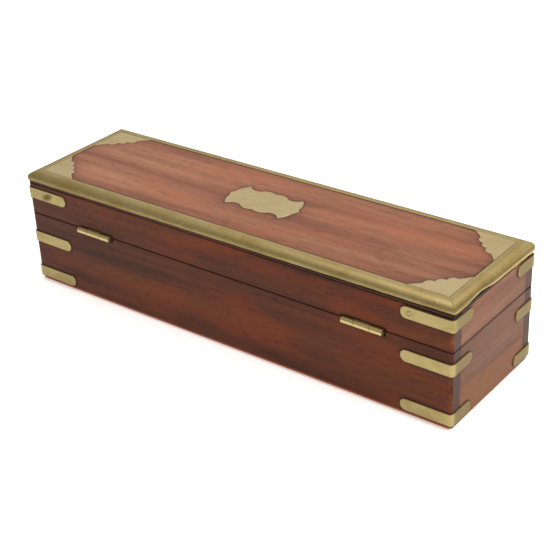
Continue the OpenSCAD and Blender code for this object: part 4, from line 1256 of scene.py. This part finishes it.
class PENBOX_OT_stage(bpy.types.Operator):
    """Add the floor, the soft lights and the camera"""
    bl_idname = "pen_box.stage"
    bl_label = "Stage"

    def execute(self, context):
        scene, stage = context.scene, context.scene.pen_box.stage
        half, glow = 4.0, 0.6                # the card's half size in metres, its own light
        mesh = bpy.data.meshes.new("floor")
        mesh.from_pydata([(-half, -half, 0), (half, -half, 0), (half, half, 0), (-half, half, 0)],
                         [], [(0, 1, 2, 3)])
        mesh.materials.append(pale_floor("matt_white_card", (*stage.floor, 1.0), glow))
        floor = bpy.data.objects.new("floor", mesh)
        scene.collection.objects.link(floor)

        scene.world = bpy.data.worlds.new("soft_room")
        scene.world.use_nodes = True
        room = scene.world.node_tree.nodes["Background"]
        room.inputs["Color"].default_value = (1.0, 0.99, 0.97, 1.0)
        room.inputs["Strength"].default_value = 0.42

        # name, place in metres, width in metres, power in watts, colour
        for name, place, width, power, colour in (
                ("overhead_softbox", (-0.3, -0.1, 1.5), 1.5, 27.0, (1.0, 0.985, 0.96)),
                ("back_softbox", (1.05, -1.35, 0.95), 1.3, 2.4, (1.0, 0.99, 0.97)),
                ("left_softbox", (-1.55, -0.35, 0.9), 1.1, 21.0, (1.0, 0.98, 0.95))):
            light = bpy.data.lights.new(name, "AREA")
            light.shape, light.size, light.energy, light.color = "SQUARE", width, power, colour
            holder = bpy.data.objects.new(name, light)
            way = Vector((0, 0, SEAM * MM)) - Vector(place)
            holder.matrix_world = (Matrix.Translation(place)
                                   @ way.to_track_quat("-Z", "Y").to_matrix().to_4x4())
            scene.collection.objects.link(holder)

        turn, rise = stage.azimuth, stage.elevation
        back = Vector((math.sin(turn) * math.cos(rise), -math.cos(turn) * math.cos(rise),
                       math.sin(rise)))
        level = Vector((0, 0, 1)).cross(back).normalized()
        upright = back.cross(level)
        cos, sin = math.cos(stage.roll), math.sin(stage.roll)
        turned = Matrix((level * cos + upright * sin, upright * cos - level * sin, back))
        camera = bpy.data.objects.new("camera", bpy.data.cameras.new("camera"))
        camera.data.sensor_width = 36.0
        camera.data.lens = stage.lens
        camera.data.clip_start = 0.01
        camera.matrix_world = (Matrix.Translation(Vector(stage.aim) + back * stage.distance)
                               @ turned.transposed().to_4x4())
        scene.collection.objects.link(camera)
        scene.camera = camera
        scene.view_settings.view_transform = "Standard"
        scene.view_settings.look = "None"
        return {"FINISHED"}


OPERATORS = (PENBOX_OT_stage, PENBOX_OT_base_boards, PENBOX_OT_lid_boards, PENBOX_OT_edging,
             PENBOX_OT_plates, PENBOX_OT_straps, PENBOX_OT_hardware, PENBOX_OT_lining,
             PENBOX_OT_tray)


class PENBOX_PT_panel(bpy.types.Panel):
    """Lists the settings and the steps that build the pen box"""
    bl_idname = "PENBOX_PT_panel"
    bl_label = "Pen Box"
    bl_space_type = "VIEW_3D"
    bl_region_type = "UI"
    bl_category = "Pen Box"

    def draw(self, context):
        settings = context.scene.pen_box
        for group in (settings.wood, settings.brass, settings.lining, settings.stage):
            box = self.layout.box()
            for name in group.__annotations__:
                box.prop(group, name)
        for operator in OPERATORS:
            self.layout.operator(operator.bl_idname)


CLASSES = (PenBoxWood, PenBoxBrass, PenBoxLining, PenBoxStage, PenBoxSettings,
           *OPERATORS, PENBOX_PT_panel)


def register():
    """Registers the classes and the scene's settings."""
    for cls in CLASSES:
        bpy.utils.register_class(cls)
    bpy.types.Scene.pen_box = PointerProperty(type=PenBoxSettings)


def unregister():
    """Takes the settings and the classes away again."""
    del bpy.types.Scene.pen_box
    for cls in reversed(CLASSES):
        bpy.utils.unregister_class(cls)


def main():
    register()
    for operator in OPERATORS:
        group, name = operator.bl_idname.split(".")
        getattr(getattr(bpy.ops, group), name)()


if __name__ == "__main__":
    main()
